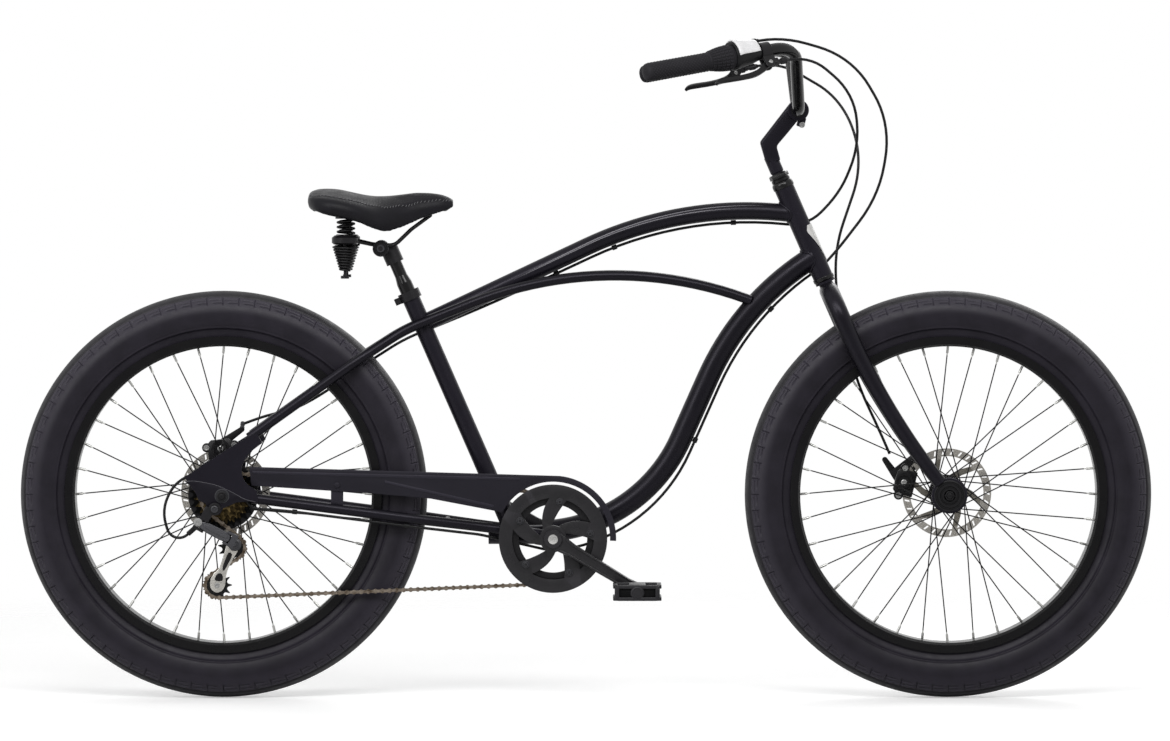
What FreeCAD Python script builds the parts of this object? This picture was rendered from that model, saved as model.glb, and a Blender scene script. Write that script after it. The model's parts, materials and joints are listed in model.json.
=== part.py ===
"""Fat-tyred cruiser bicycle: stretched curved-tube frame, disc brakes and a seven-speed chain drive.

Millimetres.  The bicycle stands on Z = 0 with its middle plane at Y = 0, faces +X and carries its
chain on the -Y side.  The origin lies on the ground halfway between the two hubs.
"""
import FreeCAD, Part
import math
import os

import Sketcher
from FreeCAD import Placement, Rotation, Vector

SIZES = (
    # wheels
    ("wheelbase", 1300.0), ("wheel_radius", 365.0), ("tyre_width", 88.0), ("tyre_wall", 5.0),
    ("tread_step", 1.5), ("bead_radius", 279.5), ("rim_lip", 4.5), ("rim_width", 70.0),
    ("rim_wall", 3.0), ("rim_depth", 13.5), ("spoke_count", 36.0), ("spoke_radius", 1.1),
    ("nipple_radius", 2.2), ("nipple_length", 13.0), ("tube_wall", 1.5), ("part_gap", 0.3),
    ("running_fit", 0.05),
    # hubs and axles
    ("axle_radius", 5.0), ("bearing_radius", 13.0), ("bearing_width", 8.0), ("hub_core_radius", 14.0),
    ("hub_bore_radius", 8.0), ("flange_radius", 33.0), ("flange_hole_circle", 29.0),
    ("flange_thickness", 3.0), ("front_spacing", 110.0), ("rear_spacing", 150.0),
    ("front_flange_left", 24.0), ("front_flange_right", 37.0), ("rear_flange_left", 40.0),
    ("rear_flange_right", 29.0), ("rotor_radius", 80.0), ("rotor_track", 14.0),
    ("rotor_thickness", 1.8), ("front_rotor_offset", 43.6), ("rear_rotor_offset", 57.0),
    ("nut_width", 16.0), ("nut_length", 9.0),
    # drive
    ("chain_pitch", 12.7), ("roller_radius", 3.88), ("roller_half_width", 1.2), ("plate_thickness", 1.0),
    ("chain_line", 56.0), ("ring_teeth", 40.0), ("cog_teeth", 20.0), ("pulley_teeth", 11.0),
    ("tooth_thickness", 2.0), ("cog_step", 5.0), ("crank_length", 175.0), ("crank_angle", 31.0),
    ("crank_inset", 72.0), ("crank_thickness", 14.0), ("crank_boss_radius", 17.0),
    ("crank_eye_radius", 12.5), ("spindle_radius", 8.5), ("guard_radius", 97.0), ("guard_band", 24.0),
    ("guard_inset", 62.0), ("guard_thickness", 4.0), ("ring_bolt_circle", 67.0),
    ("pedal_width", 95.0), ("pedal_length", 86.0), ("pedal_height", 28.0), ("pedal_axle_radius", 7.0),
    # frame
    ("bracket_back", 591.0), ("bracket_drop", 77.0), ("bracket_width", 73.0),
    ("bracket_shell_radius", 20.0), ("bracket_bore_radius", 17.0), ("head_angle", 66.4),
    ("fork_offset", 50.0), ("fork_length", 447.7), ("head_length", 174.0), ("head_radius", 18.0),
    ("head_bore_radius", 15.0), ("steerer_radius", 12.7), ("seat_angle", 66.4),
    ("seat_setback", 68.0), ("seat_tube_radius", 15.9), ("post_radius", 13.6), ("seat_tube_top", 478.0),
    ("top_tube_radius", 15.9), ("down_tube_radius", 20.0), ("stay_radius", 9.0), ("spine_radius", 17.0),
    ("top_joint", 123.0), ("top_slope", 6.05), ("top_straight", 15.5), ("top_bend_radius", 675.0),
    ("seat_joint", 417.0), ("down_joint", 40.0), ("down_slope", 33.87), ("down_straight", 18.5),
    ("down_bend_radius", 490.0), ("foot_slope", 7.67), ("foot_straight", 10.7),
    ("down_foot_radius", 280.0),
    ("dropout_thickness", 6.0), ("chain_guard_thickness", 3.0), ("cable_radius", 2.5),
    # steering
    ("leg_spread", 69.0), ("leg_top_radius", 17.0), ("leg_end_radius", 14.0), ("fork_end_radius", 32.0),
    ("quill_radius", 11.1), ("bar_radius", 11.1), ("bar_clamp_radius", 12.7), ("stem_width", 27.0),
    ("grip_radius", 16.0), ("grip_length", 122.0), ("twist_length", 50.0), ("housing_length", 54.0),
    # seat
    ("saddle_length", 263.0), ("saddle_width", 232.0), ("spring_wire_radius", 2.1),
)

doc = FreeCAD.newDocument("fat_tyre_cruiser")
sheet = doc.addObject("Spreadsheet::Sheet", "Sizes")
for row, (alias, amount) in enumerate(SIZES, start=1):
    sheet.set(f"A{row}", alias)
    sheet.set(f"B{row}", str(amount))
    sheet.setAlias(f"B{row}", alias)
doc.recompute()


class Size:
    """A length from the sheet: its number now and the expression that keeps it bound to the cells."""

    def __init__(self, number, text):
        self.number = float(number)
        self.text = text

    def __float__(self):
        return self.number

    def __add__(self, other):
        other = as_size(other)
        return Size(self.number + other.number, f"({self.text} + {other.text})")

    def __sub__(self, other):
        other = as_size(other)
        return Size(self.number - other.number, f"({self.text} - {other.text})")

    def __mul__(self, factor):
        factor = as_size(factor)
        return Size(self.number * factor.number, f"({self.text} * {factor.text})")

    def __truediv__(self, divisor):
        return Size(self.number / divisor, f"({self.text} / {divisor})")

    def __neg__(self):
        return Size(-self.number, f"(-1 * {self.text})")

    __radd__ = __add__
    __rmul__ = __mul__

    def __rsub__(self, other):
        return as_size(other) - self


def as_size(value):
    """Wrap a plain number so that it can stand beside sheet values."""
    return value if isinstance(value, Size) else Size(value, f"{float(value):.6g}")


class Names:
    """Every alias of the sheet as an attribute."""


S = Names()
for alias, amount in SIZES:
    setattr(S, alias, Size(sheet.get(alias), f"Sizes.{alias}"))


def bind(thing, path, size):
    """Tie one property of an object to the sheet."""
    size = as_size(size)
    if "Sizes." in size.text:
        thing.setExpression(path, size.text)


# placing

SIDEWAYS = Rotation(Vector(1, 0, 0), -90)
OUTWARD_RIGHT = Rotation(Vector(1, 0, 0), 90)


def seat(thing, x, y, z, turn=Rotation()):
    """Put an object at a point made of sheet values."""
    x, y, z = as_size(x), as_size(y), as_size(z)
    thing.Placement = Placement(Vector(float(x), float(y), float(z)), turn)
    bind(thing, "Placement.Base.x", x)
    bind(thing, "Placement.Base.y", y)
    bind(thing, "Placement.Base.z", z)
    return thing


def facing(direction):
    """Rotation that carries +Z onto a direction."""
    return Rotation(Vector(0, 0, 1), direction)


# sketches and bodies


def new_body(label):
    """An empty body with its label."""
    body = doc.addObject("PartDesign::Body", label)
    body.Label = label
    return body


def new_sketch(body, role="XY_Plane"):
    """A sketch on one of the body's own origin planes."""
    plane = next(item for item in body.Origin.OriginFeatures if item.Role == role)
    drawing = body.newObject("Sketcher::SketchObject", f"{body.Name}_outline")
    drawing.AttachmentSupport = [(plane, "")]
    drawing.MapMode = "FlatFace"
    return drawing


def arc_through(first, middle, last):
    """Arc of a circle run anticlockwise, and whether its ends had to be swapped for that."""
    circle = Part.Circle(first, middle, last)
    centre = circle.Center
    swapped = (middle - first).cross(last - middle).z < 0
    begin, end = (last, first) if swapped else (first, last)
    angles = [math.atan2(spot.y - centre.y, spot.x - centre.x) for spot in (begin, end)]
    return Part.ArcOfCircle(Part.Circle(centre, Vector(0, 0, 1), circle.Radius), *angles), swapped


def draw_outline(drawing, points):
    """Closed outline.  A point (x, y) is reached by a line, (x, y, via_x, via_y) by an arc."""
    corners = [(as_size(point[0]), as_size(point[1])) for point in points]
    spots = [Vector(float(x), float(y), 0) for x, y in corners]
    first = drawing.GeometryCount
    rules, bound, ends = [], [], []

    def pin(geometry, vertex, x, y):
        for kind, size in (("DistanceX", x), ("DistanceY", y)):
            bound.append((len(rules), size))
            rules.append(Sketcher.Constraint(kind, -1, 1, geometry, vertex, float(size)))

    for index, point in enumerate(points):
        if len(point) == 2:
            drawing.addGeometry(Part.LineSegment(spots[index - 1], spots[index]))
            ends.append((1, 2))
        else:
            middle = Vector(float(point[2]), float(point[3]), 0)
            arc, swapped = arc_through(spots[index - 1], middle, spots[index])
            drawing.addGeometry(arc)
            ends.append((2, 1) if swapped else (1, 2))
    for index, point in enumerate(points):
        following = (index + 1) % len(points)
        rules.append(Sketcher.Constraint("Coincident", first + index, ends[index][1],
                                         first + following, ends[following][0]))
        pin(first + index, ends[index][1], *corners[index])
        if len(point) == 4:
            middle = drawing.addGeometry(Part.Point(Vector(float(point[2]), float(point[3]), 0)))
            drawing.setConstruction(middle, True)
            pin(middle, 1, as_size(point[2]), as_size(point[3]))
            rules.append(Sketcher.Constraint("PointOnObject", middle, 1, first + index))
    offset = drawing.ConstraintCount
    drawing.addConstraint(rules)
    for place, size in bound:
        bind(drawing, f"Constraints[{offset + place}]", size)


def draw_circle(drawing, x, y, radius):
    """Circle with its centre and radius bound."""
    x, y, radius = as_size(x), as_size(y), as_size(radius)
    middle = Vector(float(x), float(y), 0)
    circle = drawing.addGeometry(Part.Circle(middle, Vector(0, 0, 1), float(radius)))
    offset = drawing.ConstraintCount
    drawing.addConstraint([
        Sketcher.Constraint("DistanceX", -1, 1, circle, 3, float(x)),
        Sketcher.Constraint("DistanceY", -1, 1, circle, 3, float(y)),
        Sketcher.Constraint("Radius", circle, float(radius))])
    for place, size in enumerate((x, y, radius)):
        bind(drawing, f"Constraints[{offset + place}]", size)


def pad(body, drawing, depth):
    """Raise a sketch into a solid of its body."""
    feature = body.newObject("PartDesign::Pad", f"{body.Name}_pad")
    feature.Profile = drawing
    feature.Length = float(depth)
    bind(feature, "Length", depth)
    body.Tip = feature
    return feature


def pocket_through(body, drawing):
    """Cut a sketch right through its body."""
    feature = body.newObject("PartDesign::Pocket", f"{body.Name}_pocket")
    feature.Profile = drawing
    feature.Type = "ThroughAll"
    feature.Reversed = True
    body.Tip = feature
    return feature


def repeat_round(body, feature, drawing, count):
    """Repeat a feature round the axis of its sketch."""
    pattern = body.newObject("PartDesign::PolarPattern", f"{body.Name}_pattern")
    pattern.Originals = [feature]
    pattern.Axis = (drawing, ["N_Axis"])
    pattern.Angle = 360
    pattern.Occurrences = int(float(count))
    bind(pattern, "Occurrences", count)
    body.Tip = pattern
    return pattern


def turned(label, points):
    """Body of revolution about its own Z axis; the points are (radius, height)."""
    body = new_body(label)
    drawing = new_sketch(body, "XZ_Plane")
    draw_outline(drawing, points)
    feature = body.newObject("PartDesign::Revolution", f"{label}_turn")
    feature.Profile = drawing
    feature.ReferenceAxis = (drawing, ["V_Axis"])
    feature.Angle = 360
    body.Tip = feature
    return body


def plate(label, points, depth, holes=()):
    """Flat body from an outline and round holes (x, y, radius)."""
    body = new_body(label)
    drawing = new_sketch(body)
    draw_outline(drawing, points)
    for hole in holes:
        draw_circle(drawing, *hole)
    pad(body, drawing, depth)
    return body


# primitives and booleans


def cylinder(label, radius, height, base, direction):
    """Round bar from a base point along a direction."""
    thing = doc.addObject("Part::Cylinder", label)
    thing.Radius = float(radius)
    thing.Height = float(height)
    bind(thing, "Radius", radius)
    bind(thing, "Height", height)
    thing.Placement = Placement(base, facing(direction))
    return thing


def box(label, length, width, height, middle, turn=Rotation()):
    """Block given by its middle."""
    thing = doc.addObject("Part::Box", label)
    for name, size in (("Length", length), ("Width", width), ("Height", height)):
        setattr(thing, name, float(size))
        bind(thing, name, size)
    corner = turn.multVec(Vector(float(length), float(width), float(height)) * 0.5)
    thing.Placement = Placement(middle - corner, turn)
    return thing


def cut(label, base, *tools):
    """Take tools off a base, one after another."""
    for index, tool in enumerate(tools):
        result = doc.addObject("Part::Cut", f"{label}_cut{index}")
        result.Base = base
        result.Tool = tool
        base = result
    base.Label = label
    return base


def fuse(label, *pieces):
    """One solid out of several."""
    result = doc.addObject("Part::MultiFuse", label)
    result.Shapes = list(pieces)
    result.Refine = False
    return result


def group(label, *pieces):
    """Separate solids kept under one name."""
    result = doc.addObject("Part::Compound", label)
    result.Links = list(pieces)
    return result


def mirrored(label, source):
    """The same piece on the other side of the middle plane."""
    result = doc.addObject("Part::Mirroring", label)
    result.Source = source
    result.Base = Vector(0, 0, 0)
    result.Normal = Vector(0, 1, 0)
    return result


def made(label, shape):
    """Document object that holds a shape no primitive covers."""
    thing = doc.addObject("Part::Feature", label)
    thing.Shape = shape
    return thing


# paths and tubes


def rounded_path(points, radii):
    """Wire of straight runs joined by tangent arcs; one radius for each inner corner."""
    edges = []
    start = points[0]
    for index in range(1, len(points) - 1):
        corner = points[index]
        back = (points[index - 1] - corner).normalize()
        ahead = (points[index + 1] - corner).normalize()
        half_turn = (math.pi - back.getAngle(ahead)) / 2
        if half_turn < 1e-4:
            continue
        run = radii[index - 1] * math.tan(half_turn)
        begin, end = corner + back * run, corner + ahead * run
        to_centre = (back + ahead).normalize()
        depth = radii[index - 1] * (1 / math.cos(half_turn) - 1)
        if (begin - start).Length > 1e-4:
            edges.append(Part.LineSegment(start, begin).toShape())
        edges.append(Part.Arc(begin, corner + to_centre * depth, end).toShape())
        start = end
    if (points[-1] - start).Length > 1e-4:
        edges.append(Part.LineSegment(start, points[-1]).toShape())
    return Part.Wire(edges)


def swept(label, points, radii, radius, end_radius=None):
    """Round tube along a rounded path, with one radius or a taper."""
    path = made(f"{label}_path", rounded_path(points, radii))
    spots = [(points[0], points[1] - points[0], radius)]
    if end_radius is not None:
        spots.append((points[-1], points[-1] - points[-2], end_radius))
    sections = []
    for number, (spot, direction, size) in enumerate(spots):
        ring = doc.addObject("Part::Circle", f"{label}_section{number}")
        ring.Radius = float(size)
        bind(ring, "Radius", size)
        ring.Placement = Placement(spot, facing(direction))
        sections.append(ring)
    tube = doc.addObject("Part::Sweep", label)
    tube.Sections = sections
    tube.Spine = (path, [f"Edge{number + 1}" for number in range(len(path.Shape.Edges))])
    tube.Solid = True
    return tube


# layout

HALF_BASE = S.wheelbase / 2
LEFT = Vector(0, 1, 0)
RIGHT = Vector(0, -1, 0)
rear_hub = Vector(-float(HALF_BASE), 0, float(S.wheel_radius))
front_hub = Vector(float(HALF_BASE), 0, float(S.wheel_radius))
bracket = rear_hub + Vector(float(S.bracket_back), 0, -float(S.bracket_drop))
BRACKET_X = S.bracket_back - HALF_BASE
BRACKET_Z = S.wheel_radius - S.bracket_drop
head_tilt = math.radians(float(S.head_angle))
steer_up = Vector(-math.cos(head_tilt), 0, math.sin(head_tilt))
steer_ahead = Vector(math.sin(head_tilt), 0, math.cos(head_tilt))
steer_foot = front_hub - steer_ahead * float(S.fork_offset)
steer_turn = Rotation(Vector(0, 1, 0), float(S.head_angle) - 90)
seat_tilt = math.radians(float(S.seat_angle))
seat_up = Vector(-math.cos(seat_tilt), 0, math.sin(seat_tilt))
seat_turn = Rotation(Vector(0, 1, 0), float(S.seat_angle) - 90)
seat_foot = bracket - Vector(float(S.seat_setback), 0, 0)
HEAD_BOTTOM = float(S.fork_length)
HEAD_TOP = HEAD_BOTTOM + float(S.head_length)


def on_steerer(distance):
    """Point on the steering axis, measured up from beside the front hub."""
    return steer_foot + steer_up * distance


def on_seat_tube(distance):
    """Point on the seat tube axis, measured up from its foot."""
    return seat_foot + seat_up * distance


def beside(point, across):
    """The same point moved sideways."""
    return Vector(point.x, across, point.z)


def from_hub(ahead, across, above):
    """Point near the rear hub."""
    return rear_hub + Vector(ahead, across, above)


def from_bracket(ahead, across, above):
    """Point near the crank axis."""
    return bracket + Vector(ahead, across, above)


# wheels

CROWN = S.tyre_width / 2
CROWN_CENTRE = S.wheel_radius - CROWN
LIP_RADIUS = S.bead_radius + S.rim_lip
RIM_INSIDE = S.rim_width / 2 - S.rim_wall
RIM_INNER = S.bead_radius - S.rim_depth


def on_crown(angle, inset=0.0):
    """Point of the tyre section at an angle from its crown, as (radius, offset)."""
    size = CROWN - inset
    return (CROWN_CENTRE + size * math.cos(math.radians(angle)),
            size * math.sin(math.radians(angle)))


def both_sides(points):
    """Half a section followed by its reflection, so that the whole outline closes."""
    return points + [(radius, -offset) for radius, offset in reversed(points)]


def tyre(label, x):
    """Balloon tyre: bead, round side wall, stepped shoulder band and a grooved crown."""
    bead = S.bead_radius + S.part_gap
    heel = RIM_INSIDE - S.part_gap
    step, wall = S.tread_step, S.tyre_wall
    groove_out, groove_in = 41.0, 36.5
    inner_end = on_crown(140, wall)
    edge = on_crown(74, step)
    crown_out = [on_crown(74), on_crown(groove_out), on_crown(groove_out - 0.7, step),
                 on_crown(groove_in + 0.7, step), on_crown(groove_in)]

    def mirror(spot):
        return (spot[0], -spot[1])

    points = [
        (bead, heel - 9.5), (bead, heel), (LIP_RADIUS + S.part_gap * 2, heel),
        (*edge, *on_crown(100, step)),
        crown_out[0], (*crown_out[1], *on_crown(57)), crown_out[2], crown_out[3], crown_out[4],
        (*mirror(crown_out[4]), *on_crown(0)),
        mirror(crown_out[3]), mirror(crown_out[2]), mirror(crown_out[1]),
        (*mirror(crown_out[0]), *mirror(on_crown(57))),
        mirror(edge), (LIP_RADIUS + S.part_gap * 2, -heel, *mirror(on_crown(100, step))),
        (bead, -heel), (bead, -heel + 9.5), mirror(inner_end),
        (*inner_end, *on_crown(0, wall)),
    ]
    return seat(turned(label, points), x, 0, S.wheel_radius, SIDEWAYS)


def inner_tube(label, x):
    """Thin air tube that fills the tyre."""
    body = new_body(label)
    drawing = new_sketch(body, "XZ_Plane")
    outer = CROWN - S.tyre_wall - S.part_gap * 2
    draw_circle(drawing, CROWN_CENTRE, 0, outer)
    draw_circle(drawing, CROWN_CENTRE, 0, outer - S.tube_wall)
    feature = body.newObject("PartDesign::Revolution", f"{label}_turn")
    feature.Profile = drawing
    feature.ReferenceAxis = (drawing, ["V_Axis"])
    feature.Angle = 360
    body.Tip = feature
    return seat(body, x, 0, S.wheel_radius, SIDEWAYS)


def rim(label, x):
    """Wide rim with hooked side walls, bead seats and a dropped middle."""
    half = S.rim_width / 2
    points = both_sides([
        (RIM_INNER, half - 7), (RIM_INNER + 4, half), (LIP_RADIUS, half), (LIP_RADIUS, RIM_INSIDE),
        (S.bead_radius, RIM_INSIDE), (S.bead_radius, half - 15), (S.bead_radius - 5.5, half - 19)])
    return seat(turned(label, points), x, 0, S.wheel_radius, SIDEWAYS)


def spoke(flange_offset, outside, hub_angle, rim_angle, rim_offset):
    """One bent spoke with its head in the flange and its nipple at the rim."""
    radius = float(S.spoke_radius)
    half = float(S.flange_thickness) / 2
    side = 1 if flange_offset > 0 else -1
    lift = half + radius + (1.5 if outside else float(S.part_gap))
    away = LEFT * (-side if outside else side)
    hole = float(S.flange_hole_circle)
    bend = Vector(hole * math.cos(hub_angle), flange_offset, hole * math.sin(hub_angle)) - away * lift
    head_run = lift + half + float(S.part_gap)
    reach = float(RIM_INNER) - float(S.part_gap)
    far = Vector(reach * math.cos(rim_angle), rim_offset, reach * math.sin(rim_angle))
    along = (far - bend).normalize()
    length = (far - bend).Length
    nipple = float(S.nipple_length)
    parts = [
        Part.makeCylinder(radius, length - 2, bend, along),
        Part.makeSphere(radius, bend),
        Part.makeCylinder(radius, head_run, bend, away),
        Part.makeCylinder(radius * 1.8, 1.2, bend + away * head_run, away),
        Part.makeCylinder(float(S.nipple_radius), nipple - 0.4, far - along * nipple, along),
    ]
    return parts[0].multiFuse(parts[1:])


def spokes(label, hub, left_flange, right_flange):
    """Both sides of a three-cross lacing."""
    per_side = int(float(S.spoke_count)) // 2
    spacing = 2 * math.pi / per_side
    solids = []
    for side, flange in ((0, -float(right_flange)), (1, float(left_flange))):
        for number in range(per_side):
            hub_angle = spacing * (number + side / 2)
            leading = number % 2 == 0
            rim_angle = hub_angle + (3 if leading else -3) * spacing
            solids.append(spoke(flange, leading, hub_angle, rim_angle, 6 if flange > 0 else -6))
    thing = made(label, Part.makeCompound(solids))
    thing.Placement = Placement(hub, Rotation())
    return thing


FLAT = S.flange_hole_circle - 5


def hub(label, x, left, right, left_flange, right_flange, disc_seat, left_core):
    """Hub shell with two drilled flanges, bearing seats, a disc seat and its two bearings."""
    core, bore, bearing = S.hub_core_radius, S.hub_bore_radius, S.bearing_radius
    wide, width, half = S.bearing_radius + 4, S.bearing_width, S.flange_thickness / 2
    rim_edge = S.flange_radius
    points = [
        (bore, -right + width), (bearing, -right + width), (bearing, -right), (wide, -right),
        (wide, -right_flange - half), (rim_edge, -right_flange - half),
        (rim_edge, -right_flange + half), (FLAT, -right_flange + half), (wide, -right_flange + half + 3),
        (core, -right_flange + 14), (core, left_flange - 14), (wide, left_flange - half - 3),
        (FLAT, left_flange - half), (rim_edge, left_flange - half),
        (rim_edge, left_flange + half), (left_core, left_flange + half), (left_core, disc_seat),
        (wide, disc_seat), (wide, left), (bearing, left), (bearing, left - width), (bore, left - width)]
    shell = turned(f"{label}_shell", points)
    holes = new_sketch(shell)
    draw_circle(holes, S.flange_hole_circle, 0, S.spoke_radius + S.part_gap)
    drill = shell.newObject("PartDesign::Pocket", f"{label}_hole")
    drill.Profile = holes
    drill.Type = "ThroughAll"
    drill.Midplane = True
    shell.Tip = drill
    repeat_round(shell, drill, holes, S.spoke_count)
    seat(shell, x, 0, S.wheel_radius, SIDEWAYS)
    inner = S.axle_radius + S.running_fit
    bearings = []
    for name, low in (("left", left - width), ("right", -right)):
        ring = turned(f"{label}_{name}_bearing",
                      [(inner, low), (bearing, low), (bearing, low + width), (inner, low + width)])
        bearings.append(seat(ring, x, 0, S.wheel_radius, SIDEWAYS))
    return group(label, shell, *bearings)


def rotor(label, x, offset):
    """Brake disc: drilled track on six raked arms, with its six bolts."""
    inner = S.rotor_radius - S.rotor_track
    disc = new_body(f"{label}_disc")
    track = new_sketch(disc)
    draw_circle(track, 0, 0, S.rotor_radius)
    draw_circle(track, 0, 0, inner)
    pad(disc, track, S.rotor_thickness)
    arm_sketch = new_sketch(disc)
    draw_outline(arm_sketch, [(18, -12), (30, -12), (46, -3), (inner + 3, 20), (inner + 1, 29), (40, 7),
                              (30, 2), (18, 2)])
    arm = pad(disc, arm_sketch, S.rotor_thickness)
    repeat_round(disc, arm, arm_sketch, 6)
    middle = new_sketch(disc)
    draw_circle(middle, 0, 0, 29)
    draw_circle(middle, 0, 0, S.bearing_radius + 4 + S.part_gap)
    pad(disc, middle, S.rotor_thickness)
    slot_sketch = new_sketch(disc)
    draw_outline(slot_sketch, [(inner + 3, -2.2), (inner + 11, 1.2), (inner + 11, 4.2), (inner + 3, 0.8)])
    slot = pocket_through(disc, slot_sketch)
    repeat_round(disc, slot, slot_sketch, 30)
    seat(disc, x, offset, S.wheel_radius, SIDEWAYS)
    bolts = []
    for number in range(6):
        angle = math.radians(60 * number + 20)
        spot = Vector(float(x) + 23 * math.cos(angle), float(offset) + float(S.rotor_thickness),
                      float(S.wheel_radius) + 23 * math.sin(angle))
        bolts.append(cylinder(f"{label}_bolt{number}", 4, 2.5, spot, LEFT))
    return group(label, disc, *bolts)


def axle(label, x, half_spacing, left, right, end_thickness):
    """Fixed axle with cone spacers between hub and frame ends, and a nut outside each end."""
    radius, spacer, gap = S.axle_radius, S.axle_radius + 3.5, S.part_gap
    reach = half_spacing + end_thickness + S.nut_length + 3
    points = [(0, -reach), (radius, -reach), (radius, -half_spacing), (spacer, -half_spacing),
              (spacer, -right - gap), (radius, -right - gap), (radius, left + gap), (spacer, left + gap),
              (spacer, half_spacing), (radius, half_spacing), (radius, reach), (0, reach)]
    rod = seat(turned(f"{label}_rod", points), x, 0, S.wheel_radius, SIDEWAYS)
    nuts = []
    for name, side in (("right", -1), ("left", 1)):
        blank = doc.addObject("Part::Prism", f"{label}_{name}_blank")
        blank.Polygon = 6
        blank.Circumradius = float(S.nut_width) / math.sqrt(3)
        blank.Height = float(S.nut_length)
        bind(blank, "Height", S.nut_length)
        start = float(half_spacing + end_thickness)
        base = Vector(float(x), side * start, float(S.wheel_radius))
        blank.Placement = Placement(base, facing(LEFT * side))
        bore = cylinder(f"{label}_{name}_bore", S.axle_radius, S.nut_length, base, LEFT * side)
        nuts.append(cut(f"{label}_{name}_nut", blank, bore))
    return group(label, rod, *nuts)


PROTECTOR_RADIUS = 62.5


def spoke_protector(label):
    """Clear disc that keeps the chain off the spokes."""
    low = -(S.rear_flange_right + S.flange_thickness + 6)
    bore = S.bearing_radius + 4
    points = [(bore, low), (PROTECTOR_RADIUS, low), (PROTECTOR_RADIUS, low + 1.5),
              (bore, low + 1.5)]
    return seat(turned(label, points), -HALF_BASE, 0, S.wheel_radius, SIDEWAYS)


FRONT_END = 12.0
front_half, rear_half = S.front_spacing / 2, S.rear_spacing / 2
front_left, front_right = front_half - 4, front_half - 6
rear_left, rear_right = rear_half - 6, rear_half - 26
NODES = [
    tyre("front_tyre", HALF_BASE), tyre("rear_tyre", -HALF_BASE),
    inner_tube("front_inner_tube", HALF_BASE), inner_tube("rear_inner_tube", -HALF_BASE),
    rim("front_rim", HALF_BASE), rim("rear_rim", -HALF_BASE),
    spokes("front_spokes", front_hub, S.front_flange_left, S.front_flange_right),
    spokes("rear_spokes", rear_hub, S.rear_flange_left, S.rear_flange_right),
    hub("front_hub", HALF_BASE, front_left, front_right, S.front_flange_left, S.front_flange_right,
        S.front_rotor_offset, 24.0),
    group("rear_hub", hub("rear_hub_set", -HALF_BASE, rear_left, rear_right, S.rear_flange_left,
                          S.rear_flange_right, S.rear_rotor_offset, 24.0),
          spoke_protector("spoke_protector")),
    rotor("front_rotor", HALF_BASE, S.front_rotor_offset),
    rotor("rear_rotor", -HALF_BASE, S.rear_rotor_offset),
    axle("front_axle", HALF_BASE, front_half, front_left, front_right, FRONT_END),
    axle("rear_axle", -HALF_BASE, rear_half, rear_left, rear_right, S.dropout_thickness),
]


# chain drive

RING_TEETH = int(float(S.ring_teeth))
COG_TEETH = int(float(S.cog_teeth))
PULLEY_TEETH = int(float(S.pulley_teeth))
PITCH = float(S.chain_pitch)
CHAIN_Y = -float(S.chain_line)
CAGE_PIVOT = from_hub(23.0, 0, -86.5)
GUIDE_REST = from_hub(18.5, 0, -93.5)
TENSION_REST = from_hub(-1.0, 0, -164.0)


def pitch_radius(teeth):
    """Radius of the circle on which the rollers of the chain lie."""
    return PITCH / (2 * math.sin(math.pi / teeth))


def turned_about(point, centre, angle):
    """Point swung in the plane of the chain, anticlockwise as seen from the right."""
    side = point - centre
    return centre + Vector(side.x * math.cos(angle) - side.z * math.sin(angle), side.y,
                           side.x * math.sin(angle) + side.z * math.cos(angle))


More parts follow.
